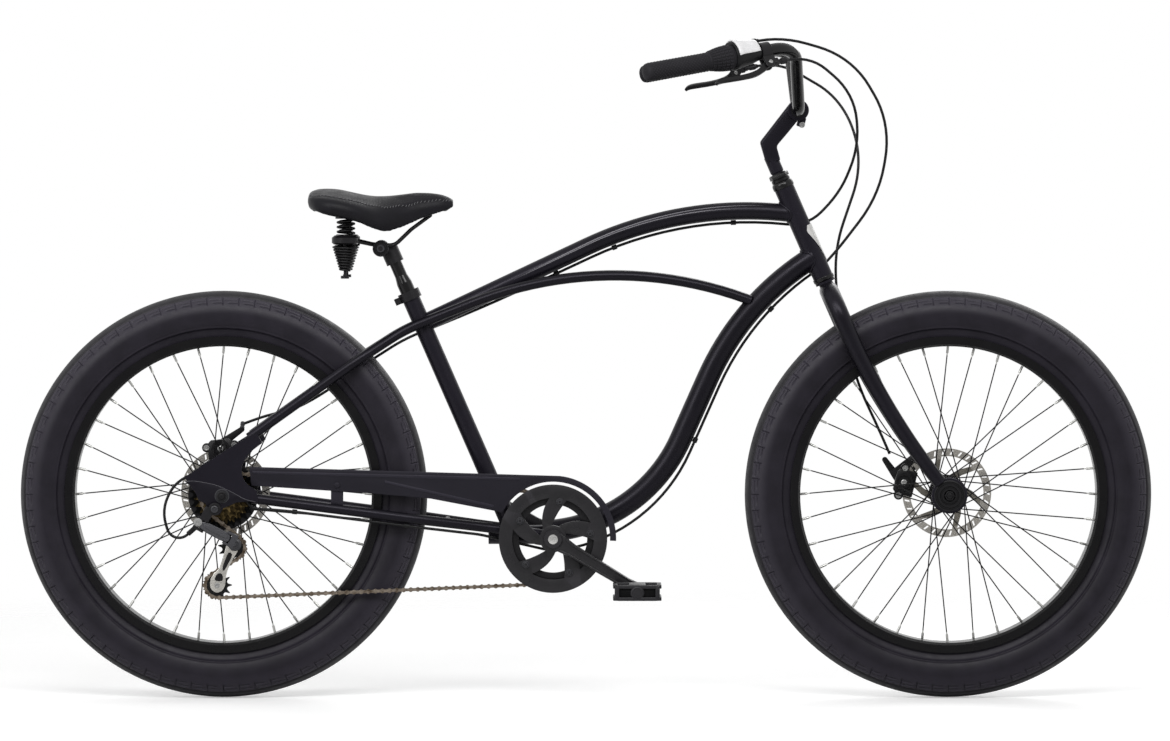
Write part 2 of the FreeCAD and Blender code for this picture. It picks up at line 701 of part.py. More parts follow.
class ChainLoop:
    """The closed line of the chain over ring, tension pulley, guide pulley and cog."""

    def __init__(self, cage_angle):
        tension = turned_about(TENSION_REST, CAGE_PIVOT, cage_angle)
        guide = turned_about(GUIDE_REST, CAGE_PIVOT, cage_angle)
        wheels = [(bracket, pitch_radius(RING_TEETH), -1), (tension, pitch_radius(PULLEY_TEETH), -1),
                  (guide, pitch_radius(PULLEY_TEETH), 1), (rear_hub, pitch_radius(COG_TEETH), -1)]
        lines = [self.tangent(wheels[index], wheels[(index + 1) % 4]) for index in range(4)]
        self.spans = []
        self.length = 0.0
        for index in range(4):
            centre, radius, turn = wheels[index]
            arriving, leaving = lines[index - 1], lines[index]
            begin = math.atan2(arriving[1].z - centre.z, arriving[1].x - centre.x)
            end = math.atan2(leaving[0].z - centre.z, leaving[0].x - centre.x)
            sweep = turn * ((turn * (end - begin)) % (2 * math.pi))
            self.add(abs(sweep) * radius, ("arc", centre, radius, begin, turn))
            self.add((leaving[1] - leaving[0]).Length, ("line", *leaving))
        self.guide, self.tension = guide, tension

    def add(self, length, span):
        self.spans.append((self.length, length, span))
        self.length += length

    @staticmethod
    def tangent(first, second):
        """Directed straight run between two wheels."""
        (centre_a, radius_a, turn_a), (centre_b, radius_b, turn_b) = first, second
        between = centre_b - centre_a
        shift = turn_b * radius_b - turn_a * radius_a
        run = math.sqrt(between.Length ** 2 - shift ** 2)
        heading = math.atan2(between.z, between.x) - math.atan2(shift, run)
        left = Vector(-math.sin(heading), 0, math.cos(heading))
        return centre_a - left * (turn_a * radius_a), centre_b - left * (turn_b * radius_b)

    def at(self, distance):
        """Point of the loop at a distance along it."""
        distance %= self.length
        for begin, length, span in self.spans:
            if distance <= begin + length:
                break
        along = distance - begin
        if span[0] == "line":
            return span[1] + (span[2] - span[1]) * (along / length)
        centre, radius, angle, turn = span[1:]
        angle += turn * along / radius
        return centre + Vector(radius * math.cos(angle), 0, radius * math.sin(angle))

    def rollers(self, count):
        """Distances of so many rollers, each one pitch from the last in a straight line."""
        places = [self.spans[0][1] / 2]
        for _ in range(count):
            here = self.at(places[-1])
            low, high = places[-1] + PITCH * 0.99, places[-1] + PITCH * 1.2
            for _ in range(40):
                middle = (low + high) / 2
                if (self.at(middle) - here).Length < PITCH:
                    low = middle
                else:
                    high = middle
            places.append(low)
        return places

    def slack(self, count):
        """How far the last roller lands beyond the first."""
        places = self.rollers(count)
        return places[-1] - places[0] - self.length


def closed_chain():
    """Swing the cage until an even number of links just closes the loop."""
    count = 2 * round(ChainLoop(0.0).length / PITCH / 2)
    low, high = math.radians(-30), math.radians(25)
    low_slack = ChainLoop(low).slack(count)
    for _ in range(34):
        middle = (low + high) / 2
        middle_slack = ChainLoop(middle).slack(count)
        if (middle_slack > 0) == (low_slack > 0):
            low = middle
        else:
            high = middle
    return low, count


cage_swing, link_count = closed_chain()
loop = ChainLoop(cage_swing)
roller_places = loop.rollers(link_count)[:-1]
roller_spots = [loop.at(place) for place in roller_places]
print(f"chain: {link_count} links, cage swung {math.degrees(cage_swing):.2f} degrees,",
      f"closing error {loop.slack(link_count):.5f} mm")


def gap_angle(centre, radius):
    """Angle of the roller that lies nearest to a wheel's pitch circle."""
    spot = min(roller_spots, key=lambda roller: abs((roller - centre).Length - radius))
    return math.atan2(spot.z - centre.z, spot.x - centre.x)


def toothed_wheel(teeth, phase, bore, thickness):
    """Sprocket that rises from the XZ plane: roller seats, sloped flanks and flat tips, with a bore."""
    radius, step = pitch_radius(teeth), 2 * math.pi / teeth
    seat_radius = float(S.roller_radius) + 0.08
    tip, opening = radius + 3.6, math.radians(58)

    def polar(size, angle):
        return Vector(size * math.cos(angle), 0, size * math.sin(angle))

    edges, last = [], None
    first = None
    for number in range(teeth):
        angle = phase + step * number
        middle = polar(radius, angle)
        begin, low, end = (middle + polar(seat_radius, angle + math.pi + side * opening)
                           for side in (1, 0, -1))
        if last is not None:
            edges.append(Part.LineSegment(last, begin).toShape())
        else:
            first = begin
        edges.append(Part.Arc(begin, low, end).toShape())
        half_tip = 0.8 / tip
        tips = [polar(tip, angle + step / 2 + side * half_tip) for side in (-1, 1)]
        edges.append(Part.LineSegment(end, tips[0]).toShape())
        edges.append(Part.LineSegment(*tips).toShape())
        last = tips[1]
    edges.append(Part.LineSegment(last, first).toShape())
    hole = Part.Wire(Part.Circle(Vector(0, 0, 0), LEFT, bore).toShape())
    face = Part.makeFace([Part.Wire(edges), hole], "Part::FaceMakerBullseye")
    return face.extrude(LEFT * thickness)


def sprocket(label, teeth, centre, across, bore, phase=None):
    """Toothed wheel in its place, turned so that the chain's rollers fall between its teeth."""
    if phase is None:
        phase = gap_angle(centre, pitch_radius(teeth))
    thickness = float(S.tooth_thickness)
    thing = made(label, toothed_wheel(teeth, phase, float(bore), thickness))
    thing.Placement = Placement(beside(centre, across - thickness / 2), Rotation())
    return thing


def link_plate(inner_face, hole):
    """One waisted side plate of a link, lying along X between two pins."""
    end, waist = 4.1, 2.9
    half = PITCH / 2
    reach = end * math.sin(math.radians(50))
    rise = end * math.cos(math.radians(50))
    spots = [Vector(-half + reach, 0, rise), Vector(half - reach, 0, rise),
             Vector(half - reach, 0, -rise), Vector(-half + reach, 0, -rise)]
    edges = [Part.Arc(spots[0], Vector(0, 0, waist * 0.88), spots[1]).toShape(),
             Part.Arc(spots[1], Vector(half + end, 0, 0), spots[2]).toShape(),
             Part.Arc(spots[2], Vector(0, 0, -waist * 0.88), spots[3]).toShape(),
             Part.Arc(spots[3], Vector(-half - end, 0, 0), spots[0]).toShape()]
    holes = [Part.Wire(Part.Circle(Vector(side * half, 0, 0), LEFT, hole).toShape()) for side in (-1, 1)]
    face = Part.makeFace([Part.Wire(edges), *holes], "Part::FaceMakerBullseye")
    face.translate(LEFT * inner_face)
    return face.extrude(LEFT * float(S.plate_thickness))


def chain(label):
    """Roller chain: inner links with bored rollers alternate with pinned outer links."""
    pin = 1.8
    inner_face = float(S.roller_half_width) + 0.1
    outer_face = inner_face + float(S.plate_thickness) + float(S.running_fit)
    inner, outer = [], []
    for sign in (1, -1):
        for parts, face, hole in ((inner, inner_face, pin + float(S.running_fit)), (outer, outer_face, pin)):
            solid = link_plate(face, hole)
            parts.append(solid if sign > 0 else solid.mirror(Vector(0, 0, 0), LEFT))
    for side in (-1, 1):
        base = Vector(side * PITCH / 2, -inner_face, 0)
        roller = Part.makeCylinder(float(S.roller_radius), 2 * inner_face, base, LEFT)
        inner.append(roller.cut(Part.makeCylinder(pin + float(S.running_fit), 2 * inner_face, base, LEFT)))
        reach = outer_face + float(S.plate_thickness) + 0.3
        outer.append(Part.makeCylinder(pin, 2 * reach, Vector(side * PITCH / 2, -reach, 0), LEFT))
    links = [parts[0].multiFuse(parts[1:]).Solids[0] for parts in (inner, outer)]
    solids = []
    for number, spot in enumerate(roller_spots):
        ahead = roller_spots[(number + 1) % link_count]
        heading = math.degrees(math.atan2(ahead.z - spot.z, ahead.x - spot.x))
        link = links[number % 2].copy()
        middle = (spot + ahead) * 0.5
        link.Placement = Placement(Vector(middle.x, CHAIN_Y, middle.z), Rotation(LEFT, -heading))
        solids.append(link)
    return made(label, Part.makeCompound(solids))


COGS = (28, 24, 22, COG_TEETH, 18, 16, 14)
CORE_RADIUS = S.bearing_radius + 9


def freewheel(label):
    """Seven cogs on the ratchet body that turns on the hub."""
    bore = S.bearing_radius + 4 + S.running_fit
    low, high = -(S.chain_line + S.cog_step * 3.5), -(S.chain_line - S.cog_step * 3 - 3)
    body = turned("freewheel_body", [(bore, low), (CORE_RADIUS, low), (CORE_RADIUS, high), (bore, high)])
    pieces = [seat(body, -HALF_BASE, 0, S.wheel_radius, SIDEWAYS)]
    for number, teeth in enumerate(COGS):
        across = CHAIN_Y + (3 - number) * float(S.cog_step)
        phase = None if number == 3 else 0.0
        pieces.append(sprocket(f"cog_{teeth}_{number}", teeth, rear_hub, across, CORE_RADIUS, phase))
    return group(label, *pieces)


def ring_bolt_spots():
    """The five bolts that join ring and guard, in the plane of the crank axis."""
    for number in range(5):
        angle = math.radians(79.5 + 72 * number)
        radius = float(S.ring_bolt_circle)
        yield from_bracket(radius * math.cos(angle), 0, radius * math.sin(angle))


def chainring(label):
    """Toothed ring with five bolt holes."""
    ring = sprocket("chainring_blank", RING_TEETH, bracket, CHAIN_Y, float(S.ring_bolt_circle) - 6)
    drills = [cylinder(f"chainring_drill{number}", 4, 6, beside(spot, CHAIN_Y - 3), LEFT)
              for number, spot in enumerate(ring_bolt_spots())]
    return cut(label, ring, *drills)


def guard_ring(label):
    """Round guard with five swept arms and a hub, bolted to the chainring."""
    inner = S.guard_radius - S.guard_band
    disc = new_body("guard_disc")
    band = new_sketch(disc)
    draw_circle(band, 0, 0, S.guard_radius)
    draw_circle(band, 0, 0, inner)
    pad(disc, band, S.guard_thickness)
    arm_sketch = new_sketch(disc)

    def polar(radius, angle):
        angle = math.radians(79.5 + angle)
        return radius * math.cos(angle), radius * math.sin(angle)

    draw_outline(arm_sketch, [
        polar(18, 70), (*polar(inner + 2, 14), *polar(42, 38)), polar(inner + 2, -10),
        (*polar(18, 25), *polar(42, 2))])
    arm = pad(disc, arm_sketch, S.guard_thickness)
    repeat_round(disc, arm, arm_sketch, 5)
    middle = new_sketch(disc)
    draw_circle(middle, 0, 0, 24)
    draw_circle(middle, 0, 0, S.spindle_radius)
    pad(disc, middle, S.crank_inset - S.guard_inset)
    seat(disc, BRACKET_X, -S.guard_inset, BRACKET_Z, OUTWARD_RIGHT)
    gap = float(S.guard_inset) - float(S.chain_line) - float(S.tooth_thickness) / 2
    face = CHAIN_Y - float(S.tooth_thickness) / 2
    pieces = [disc]
    for number, spot in enumerate(ring_bolt_spots()):
        pieces.append(cylinder(f"guard_post{number}", 5.5, gap, beside(spot, face), RIGHT))
        outer = beside(spot, -float(S.guard_inset + S.guard_thickness))
        pieces.append(cylinder(f"guard_bolt{number}", 5, 2.5, outer, RIGHT))
    return group(label, *pieces)


def crank_arm(label, side):
    """Forged arm with a boss at the spindle and an eye for the pedal axle."""
    boss, eye, reach = S.crank_boss_radius, S.crank_eye_radius, S.crank_length
    points = [
        (0, -boss, -boss, 0), (40, -12), (reach - 22, -10), (reach, -eye),
        (reach, eye, reach + eye, 0), (reach - 22, 10), (40, 12), (0, boss)]
    arm = plate(label, points, S.crank_thickness,
                [(0, 0, S.spindle_radius), (reach, 0, S.pedal_axle_radius)])
    lean = float(S.crank_angle) if side < 0 else float(S.crank_angle) + 180
    turn = Rotation(LEFT, lean) * OUTWARD_RIGHT
    across = -S.crank_inset if side < 0 else S.crank_inset + S.crank_thickness
    return seat(arm, BRACKET_X, across, BRACKET_Z, turn)


def pedal_centre(side):
    """Point of the pedal axle at the middle plane, for the right (-1) or left (1) crank."""
    lean = math.radians(float(S.crank_angle))
    reach = float(S.crank_length) * (1 if side < 0 else -1)
    return from_bracket(reach * math.cos(lean), 0, -reach * math.sin(lean))


PEDAL_START = S.crank_inset + S.crank_thickness + 4


def crank_axles(label):
    """Bottom bracket spindle with its end caps, and the two pedal axles."""
    reach = S.crank_inset + S.crank_thickness - 3
    radius, cap = S.spindle_radius, S.crank_inset + S.crank_thickness
    spindle = turned("bracket_spindle", [(0, -reach), (radius, -reach), (radius, reach), (0, reach)])
    pieces = [seat(spindle, BRACKET_X, 0, BRACKET_Z, SIDEWAYS)]
    for name, side in (("right", -1), ("left", 1)):
        outward = LEFT * side
        pieces.append(cylinder(f"{name}_crank_cap", S.spindle_radius + 3, 2,
                               beside(bracket, side * float(cap)), outward))
        start = beside(pedal_centre(side), side * float(S.crank_inset))
        length = S.crank_thickness + 4 + S.pedal_width - 8
        pieces.append(cylinder(f"{name}_pedal_axle", S.pedal_axle_radius, length, start, outward))
    return group(label, *pieces)


def pedal(label, side):
    """Platform pedal: open cage plates round a barrel that turns on the axle."""
    half, width, height = S.pedal_length / 2, S.pedal_width, S.pedal_height
    body = plate(f"{label}_cage", [
        (-half + 10, 0), (half - 10, 0), (half, 10), (half, width - 10), (half - 10, width),
        (-half + 10, width), (-half, width - 10), (-half, 10)], height)
    windows = new_sketch(body)
    for sign in (1, -1):
        edge = (half - 8) * sign
        draw_outline(windows, [(sign * 15.0, 10), (edge, 14), (edge, width - 14), (sign * 15.0, width - 10)])
    pocket_through(body, windows)
    spot = pedal_centre(side)
    start = float(PEDAL_START)
    base = Vector(spot.x, side * start if side > 0 else -start - float(width), spot.z - float(height) / 2)
    body.Placement = Placement(base, Rotation())
    outward = LEFT * side
    bore = cylinder(f"{label}_bore", S.pedal_axle_radius + S.running_fit, S.pedal_width - 7,
                    beside(spot, side * start), outward)
    return cut(label, body, bore)


NODES += [
    chain("chain"), freewheel("freewheel_cogs"),
    chainring("chainring"), guard_ring("guard_ring"),
    group("cranks", crank_arm("right_crank", -1), crank_arm("left_crank", 1)),
    crank_axles("crank_axles"), pedal("right_pedal", -1), pedal("left_pedal", 1),
]


# frame

head_outer = cylinder("head_outer", S.head_radius, S.head_length, on_steerer(HEAD_BOTTOM), steer_up)
head_bore = cylinder("head_bore", S.head_bore_radius, S.head_length, on_steerer(HEAD_BOTTOM), steer_up)
seat_outer = cylinder("seat_outer", S.seat_tube_radius, S.seat_tube_top, seat_foot, seat_up)
BORE_FLOOR = 60.0
seat_bore = cylinder("seat_bore", S.post_radius + S.running_fit, S.seat_tube_top - BORE_FLOOR,
                     on_seat_tube(BORE_FLOOR), seat_up)
shell_start = beside(bracket, -float(S.bracket_width) / 2)
shell_outer = cylinder("shell_outer", S.bracket_shell_radius, S.bracket_width, shell_start, LEFT)
shell_bore = cylinder("shell_bore", S.bracket_bore_radius, S.bracket_width, shell_start, LEFT)
spine_bar = cylinder("spine_bar", S.spine_radius, 106, from_bracket(-10, 0, 4), Vector(-1, 0, 0))

SETTLING_ROUNDS = 40


def sloped(ahead, slope):
    """Direction in the middle plane, forwards or backwards, at a slope in degrees above the level."""
    rise = math.radians(float(slope))
    return Vector(ahead * math.cos(rise), 0, math.sin(rise))


def tube_corner(start, way, straight, radius, towards):
    """Corner of a tube that runs straight from its start, then bends by a radius towards a point."""
    reach = float(straight)
    for _ in range(SETTLING_ROUNDS):
        turn = way.getAngle(towards - (start + way * reach))
        reach = float(straight) + float(radius) * math.tan(turn / 2)
    return start + way * reach


seat_joint = on_seat_tube(float(S.seat_joint))
top_head = on_steerer(HEAD_BOTTOM + float(S.top_joint))
top_bend = tube_corner(top_head, sloped(-1, S.top_slope), S.top_straight, S.top_bend_radius, seat_joint)
top_line = [top_head, top_bend, seat_joint]
top_bar = swept("top_bar", top_line, [float(S.top_bend_radius)], S.top_tube_radius)

down_head = on_steerer(HEAD_BOTTOM + float(S.down_joint))
down_turn = down_foot = from_bracket(0, 0, 11)
for _ in range(SETTLING_ROUNDS):
    down_bend = tube_corner(
        down_head, sloped(-1, -S.down_slope), S.down_straight, S.down_bend_radius, down_turn)
    down_turn = tube_corner(
        down_foot, sloped(1, S.foot_slope), S.foot_straight, S.down_foot_radius, down_bend)
down_line = [down_head, down_bend, down_turn, down_foot]
down_radii = [float(S.down_bend_radius), float(S.down_foot_radius)]
down_bar = swept("down_bar", down_line, down_radii, S.down_tube_radius)

# the stays leave the down tube, pass the seat tube on both sides and spread round the tyre
STAY_SIDE = float(S.seat_tube_radius + S.stay_radius) + 0.2
STAY_WIDE = float(CROWN + S.stay_radius) + 9
STAY_SLOPE, STAY_STRAIGHT = 19.83, 11.0
stay_radii = [690.0, 150.0, 150.0]
stay_start = down_bend + Vector(19, 0, 10)
stay_passing = seat_joint + Vector(-32, 0, -10)
stay_bend = tube_corner(stay_start, sloped(-1, STAY_SLOPE), STAY_STRAIGHT, stay_radii[0], stay_passing)
stay_line = [
    beside(stay_start, 13), beside(stay_bend, STAY_SIDE), beside(stay_passing, STAY_SIDE),
    from_hub(239.6, STAY_WIDE, 240.7), from_hub(47.5, float(rear_half) - 3, 103.7)]
chainstay_line = [
    from_hub(52, float(rear_half) - 5, -4.3), from_hub(350, STAY_WIDE, -42.7),
    from_bracket(-131, 34, 20), from_bracket(-11, 24, 4.8)]
chainstay_radii = [180.0, 180.0]

AXLE_HOLE = (0, 0, S.axle_radius)
HANGER = (-12.6, -22.5)
EYELET = (-37.0, 0.0)
DROPOUT_TOP = [
    (-67, 34), (5, 81), (44, 105), (62, 113), (72, 95), (51, 79), (39.5, 62.9),
    (45.7, 20.4, 35.5, 41), (62, 9.8), (65, -11.5), (45.7, -9.8), (26, -11.5)]
DROPOUT_TAIL = [(-30, -13), (-42, -8), (-46, 3), (-57, 20)]


def dropout(label, tail, holes):
    """Flat frame end that holds the axle, drawn from its middle."""
    holes = [AXLE_HOLE, (*EYELET, 2.5), *holes]
    blank = plate(label, DROPOUT_TOP + tail + DROPOUT_TAIL, S.dropout_thickness, holes)
    return seat(blank, -HALF_BASE, -rear_half, S.wheel_radius, OUTWARD_RIGHT)


right_dropout = dropout("right_dropout", [(2, -22), (-3, -32), (-12.6, -35), (-22, -32), (-26, -22)],
                        [(*HANGER, 4.2)])
left_dropout = mirrored("left_dropout", dropout("left_dropout_blank", [(10, -16), (-12, -17)], []))


def stay(label, line, radii, side, *tools):
    """One rear stay, coped to what it meets."""
    points = [Vector(point.x, side * point.y, point.z) for point in line]
    return cut(label, swept(f"{label}_bar", points, radii, S.stay_radius), *tools)


def rear_stays(label):
    """Two arched stays, two chainstays and the bridge between the chainstays."""
    pieces = []
    for name, side, end in (("right", -1, right_dropout), ("left", 1, left_dropout)):
        pieces.append(stay(f"{name}_arched_stay", stay_line, stay_radii, side, down_bar, end))
        pieces.append(stay(f"{name}_chainstay", chainstay_line, chainstay_radii, side, spine_bar,
                           shell_outer, end))
    bridge_spot = from_bracket(-190, 0, 29)
    bridge = cylinder("bridge_bar", 6, 90, beside(bridge_spot, -45), LEFT)
    pieces.append(cut("stay_bridge", bridge, pieces[1], pieces[3]))
    return group(label, *pieces)


def bearing_cups(label):
    """Upper and lower headset cups and the two bottom bracket cups."""
    bore, press, lip = S.steerer_radius + S.running_fit, S.head_bore_radius, S.head_radius + 1.5
    lower = turned("lower_cup", [
        (bore, -8), (lip - 1.5, -8), (lip, -6), (lip, 0), (press, 0), (press, 10), (bore, 10)])
    upper = turned("upper_cup", [
        (bore, -10), (press, -10), (press, 0), (lip, 0), (lip, 8), (lip - 2, 12), (bore, 12)])
    lower.Placement = Placement(on_steerer(HEAD_BOTTOM), steer_turn)
    upper.Placement = Placement(on_steerer(HEAD_TOP), steer_turn)
    half, inner, outer = S.bracket_width / 2, S.spindle_radius + S.running_fit, S.bracket_bore_radius
    flange = S.bracket_shell_radius
    points = [(inner, half - 18), (outer, half - 18), (outer, half), (flange, half), (flange, half + 3),
              (inner, half + 3)]
    left = seat(turned("left_bracket_cup", points), BRACKET_X, 0, BRACKET_Z, SIDEWAYS)
    return group(label, lower, upper, left, mirrored("right_bracket_cup", left))


COLLAR_TOP = float(S.seat_tube_top) + 3


def seat_clamp(label):
    """Split collar at the top of the seat tube with its pinch bolt."""
    bore = S.seat_tube_radius
    ring = turned("seat_collar_ring", [
        (bore, -16), (bore + 4, -16), (bore + 4, 0), (S.post_radius + S.part_gap, 0),
        (S.post_radius + S.part_gap, -3), (bore, -3)])
    ring.Placement = Placement(on_seat_tube(COLLAR_TOP), seat_turn)
    ahead = seat_turn.multVec(Vector(-1, 0, 0))
    spot = on_seat_tube(COLLAR_TOP - 9.5) + ahead * (float(bore) + 7)
    ear = box("seat_collar_ear", 12, 16, 12, spot, seat_turn)
    slit = box("seat_collar_slit", 24, 2, 30, spot, seat_turn)
    collar = cut("seat_collar", fuse("seat_collar_blank", ring, ear), slit, seat_outer)
    bolt = fuse("seat_bolt", cylinder("seat_bolt_rod", 2.5, 22, beside(spot, -11), LEFT),
                cylinder("seat_bolt_head", 4.5, 4, beside(spot, -12), LEFT))
    hole = cylinder("seat_bolt_hole", 2.5, 40, beside(spot, -20), LEFT)
    ear_seat = cylinder("seat_bolt_seat", 4.5, 12, beside(spot, -20), LEFT)
    return group(label, cut("seat_collar_drilled", collar, hole, ear_seat), bolt)


GUARD_CUT, GUARD_HOOK = S.guard_radius + 5, S.guard_radius + 16


def chain_guard(label):
    """Long panel over the chain with a round cut for the guard ring, a hook end and two raised creases."""

    def polar(radius, angle):
        return radius * math.cos(math.radians(angle)), radius * math.sin(math.radians(angle))

    cut_start = polar(GUARD_CUT, 152.4)
    panel = plate("chain_guard_panel", [
        (-543, 128.7), (-539, 95), (-319, 80.7), (-219, 71.8), cut_start,
        (*polar(GUARD_CUT, -2), *polar(GUARD_CUT, 75)), polar(GUARD_HOOK, -2),
        (*polar(GUARD_HOOK, 84), *polar(GUARD_HOOK, 41)), (-219, 120)], S.chain_guard_thickness)
    creases = new_sketch(panel)
    draw_outline(creases, [(-537, 121), (-220, 112.5), (-60, 109), (-60, 105), (-220, 108), (-537, 117)])
    draw_outline(creases, [(-300, 104), (-106, 60), (-108, 56), (-300, 100)])
    pad(panel, creases, S.chain_guard_thickness + 1)
    seat(panel, BRACKET_X, -S.guard_inset - 1, BRACKET_Z, OUTWARD_RIGHT)
    inside = -float(S.guard_inset) - 1
    tab = box("guard_tab", 22, 2, 66, from_bracket(-386, inside + 1, 80))
    right_line = [beside(point, -point.y) for point in chainstay_line]
    right_bar = swept("guard_cope_bar", right_line, chainstay_radii,
                      S.stay_radius)
    bracket_tab = cut("guard_bracket", tab, right_bar)
    outside = inside - float(S.chain_guard_thickness)
    bolt = cylinder("guard_bolt_head", 5, 3, from_bracket(-386, outside, 96), RIGHT)
    return group(label, panel, bracket_tab, bolt)


NODES += [
    cut("head_tube", head_outer, head_bore), cut("top_tube", top_bar, head_outer, seat_outer),
    cut("down_tube", down_bar, head_outer, shell_outer), cut("seat_tube", seat_outer, seat_bore, spine_bar),
    group("bottom_bracket_shell", cut("shell_tube", shell_outer, shell_bore),
          cut("spine", spine_bar, shell_outer)),
    rear_stays("rear_stays"), group("dropouts", right_dropout, left_dropout), bearing_cups("bearing_cups"),
    seat_clamp("seat_clamp"), chain_guard("chain_guard"),
]


# fork and steering

STACK = 28.0


def fork(label):
    """Steerer with crown race, two raked legs and round fork ends."""
    bottom, top = HEAD_BOTTOM - 42, HEAD_TOP + STACK - 1
    bore = float(S.quill_radius + S.running_fit)
    rod = cylinder("steerer_rod", S.steerer_radius, top - bottom, on_steerer(bottom), steer_up)
    race = cylinder("crown_race", S.head_radius, 4, on_steerer(HEAD_BOTTOM - 12.3), steer_up)
    hollow = cylinder("steerer_bore", bore, top - bottom - 40, on_steerer(bottom + 40), steer_up)
    steerer = cut("steerer", fuse("steerer_blank", rod, race), hollow)
    spread = float(S.leg_spread)
    crown = HEAD_BOTTOM - 27.7
    ending = turned("right_fork_end", [
        (S.axle_radius, 0), (S.fork_end_radius, 0), (S.fork_end_radius, FRONT_END - 2),
        (S.fork_end_radius - 2, FRONT_END), (18, FRONT_END), (17, FRONT_END - 1.5), (15, FRONT_END - 1.5),
        (14, FRONT_END), (S.axle_radius, FRONT_END)])
    seat(ending, HALF_BASE, -front_half, S.wheel_radius, OUTWARD_RIGHT)
    knee = beside(on_steerer(210), -spread)
    foot = beside(front_hub, -float(front_half) - 6)
    line = [on_steerer(crown), beside(on_steerer(crown - 3), -spread), knee,
            foot + (knee - foot).normalize() * 28]
    leg_bar = swept("right_leg_bar", line, [52.0, 1250.0], S.leg_top_radius, S.leg_end_radius - 2)
    leg = cut("right_leg", leg_bar, rod, race, ending)
    other_leg = mirrored("left_leg", leg)
    return group(label, steerer, leg, other_leg, ending, mirrored("left_fork_end", ending)), other_leg


bar_clamp = on_steerer(HEAD_TOP + 80.5) + Vector(57, 0, 65.3)


def stem(label):
    """Quill stem with a cranked arm and a pinched bar clamp, above its lock nuts."""
    elbow = on_steerer(HEAD_TOP + 80.5)
    quill_foot, quill_top = HEAD_BOTTOM + 60, HEAD_TOP + 84
    quill = cylinder("quill", S.quill_radius, quill_top - quill_foot, on_steerer(quill_foot), steer_up)
    collar = cylinder("quill_collar", S.quill_radius + 2.5, 46, on_steerer(HEAD_TOP + STACK + 3), steer_up)
    along = (bar_clamp - elbow).normalize()
    lean = math.degrees(math.atan2(along.x, along.z))
    arm = box("stem_arm", 24, S.stem_width, (bar_clamp - elbow).Length + 26,
              (elbow + bar_clamp) * 0.5 - along * 8, Rotation(LEFT, lean))
    clamp = cylinder("stem_clamp", S.bar_clamp_radius + 6.5, 42, beside(bar_clamp, -21), LEFT)
    tail = box("stem_clamp_tail", 14, 22, 18, bar_clamp + Vector(6, 0, -21), Rotation(LEFT, 15))
    bore = cylinder("stem_bore", S.bar_clamp_radius, 60, beside(bar_clamp, -30), LEFT)
    pinch = beside(bar_clamp + Vector(7, 0, -26), -15)
    hole = cylinder("stem_bolt_hole", 3.5, 40, pinch, LEFT)
    forged = cut("stem_forging", fuse("stem_blank", quill, collar, arm, clamp, tail), bore, hole)
    bolt = fuse("stem_bolt", cylinder("stem_bolt_rod", 3.5, 30, pinch, LEFT),
                cylinder("stem_bolt_head", 6, 4, pinch, LEFT))
    inner = S.steerer_radius
    nuts = turned("lock_nuts", [
        (inner, 12.3), (17, 12.3), (17, 18), (15.5, 18.3), (15.5, 19), (18, 19.3), (18, 27), (16, STACK),
        (inner, STACK)])
    nuts.Placement = Placement(on_steerer(HEAD_TOP), steer_turn)
    return group(label, forged, bolt, nuts)


def bar_point(side, back, across, rise):
    """Point of the handlebar, measured from the stem clamp."""
    return bar_clamp + Vector(-back, side * across, rise)


def bar_end(side):
    return bar_point(side, 274, 335, 66)


def bar_along(side):
    """Direction of the grip, from the end of the bar inward."""
    return (bar_point(side, 10, 190, 114) - bar_end(side)).normalize()


def on_grip(side, distance):
    """Point on the grip axis, measured from the end of the bar."""
    return bar_end(side) + bar_along(side) * distance


def lever_drop(side):
    """Direction from the grip towards the lever: down and forward."""
    along = bar_along(side)
    up = (Vector(0, 0, 1) - along * along.z).normalize()
    ahead = along.cross(up) * -side
    return (ahead * 0.5 - up * 0.87).normalize()


def lever_turn(side):
    """Axes of a lever: outward along the grip, away from the grip, and the pivot."""
    outward, drop = -bar_along(side), lever_drop(side)
    return Rotation(outward, drop, outward.cross(drop), "XYZ")


def handlebar(label):
    """Wide swept-back bar with a thicker middle."""
    half = [(10, 190, 114), (0, 50, 0)]
    points = [bar_end(-1), *(bar_point(-1, *spot) for spot in half),
              *(bar_point(1, *spot) for spot in reversed(half)), bar_end(1)]
    tube = swept("bar_tube", points, [60.0] * 4, S.bar_radius)
    return fuse(label, tube, cylinder("bar_sleeve", S.bar_clamp_radius, 52, beside(bar_clamp, -26), LEFT))


def grip(label, side, length):
    """Rubber grip with a closed, flanged end."""
    outer, bore = S.grip_radius, S.bar_radius
    body = turned(label, [
        (0, -4), (outer - 3, -4), (outer, -2), (outer + 1.5, 2), (outer + 1.5, 5), (outer - 1, 8),
        (outer, length / 2), (outer - 1, length - 7), (outer + 1, length - 4), (outer + 1, length),
        (bore, length), (bore, 0), (0, 0)])
    body.Placement = Placement(bar_end(side), facing(bar_along(side)))
    return body


def twist_grip(label):
    """Ribbed sleeve that turns on the bar to change gear."""
    outer, bore, length = S.grip_radius + 1, S.bar_radius + S.running_fit, S.twist_length
    points = [(bore, 0), (outer - 1, 0)]
    ribs = 6
    for number in range(ribs):
        low = (length - 10) * ((number + 0.3) / ribs) + 2
        points += [(outer - 1, low), (outer, low + 1), (outer, low + 3.5), (outer - 1, low + 4.5)]
    points += [(outer - 1, length - 4), (outer + 1.5, length - 2), (outer + 1.5, length), (bore, length)]
    body = turned(label, points)
    start = float(S.grip_length + S.part_gap)
    body.Placement = Placement(on_grip(-1, start), facing(bar_along(-1)))
    return body


HOUSING_START = float(S.grip_length + S.twist_length + S.part_gap * 2)
RIGHT_LEVER = HOUSING_START + float(S.housing_length) + 13
LEFT_LEVER = float(S.grip_length + S.twist_length) + 15


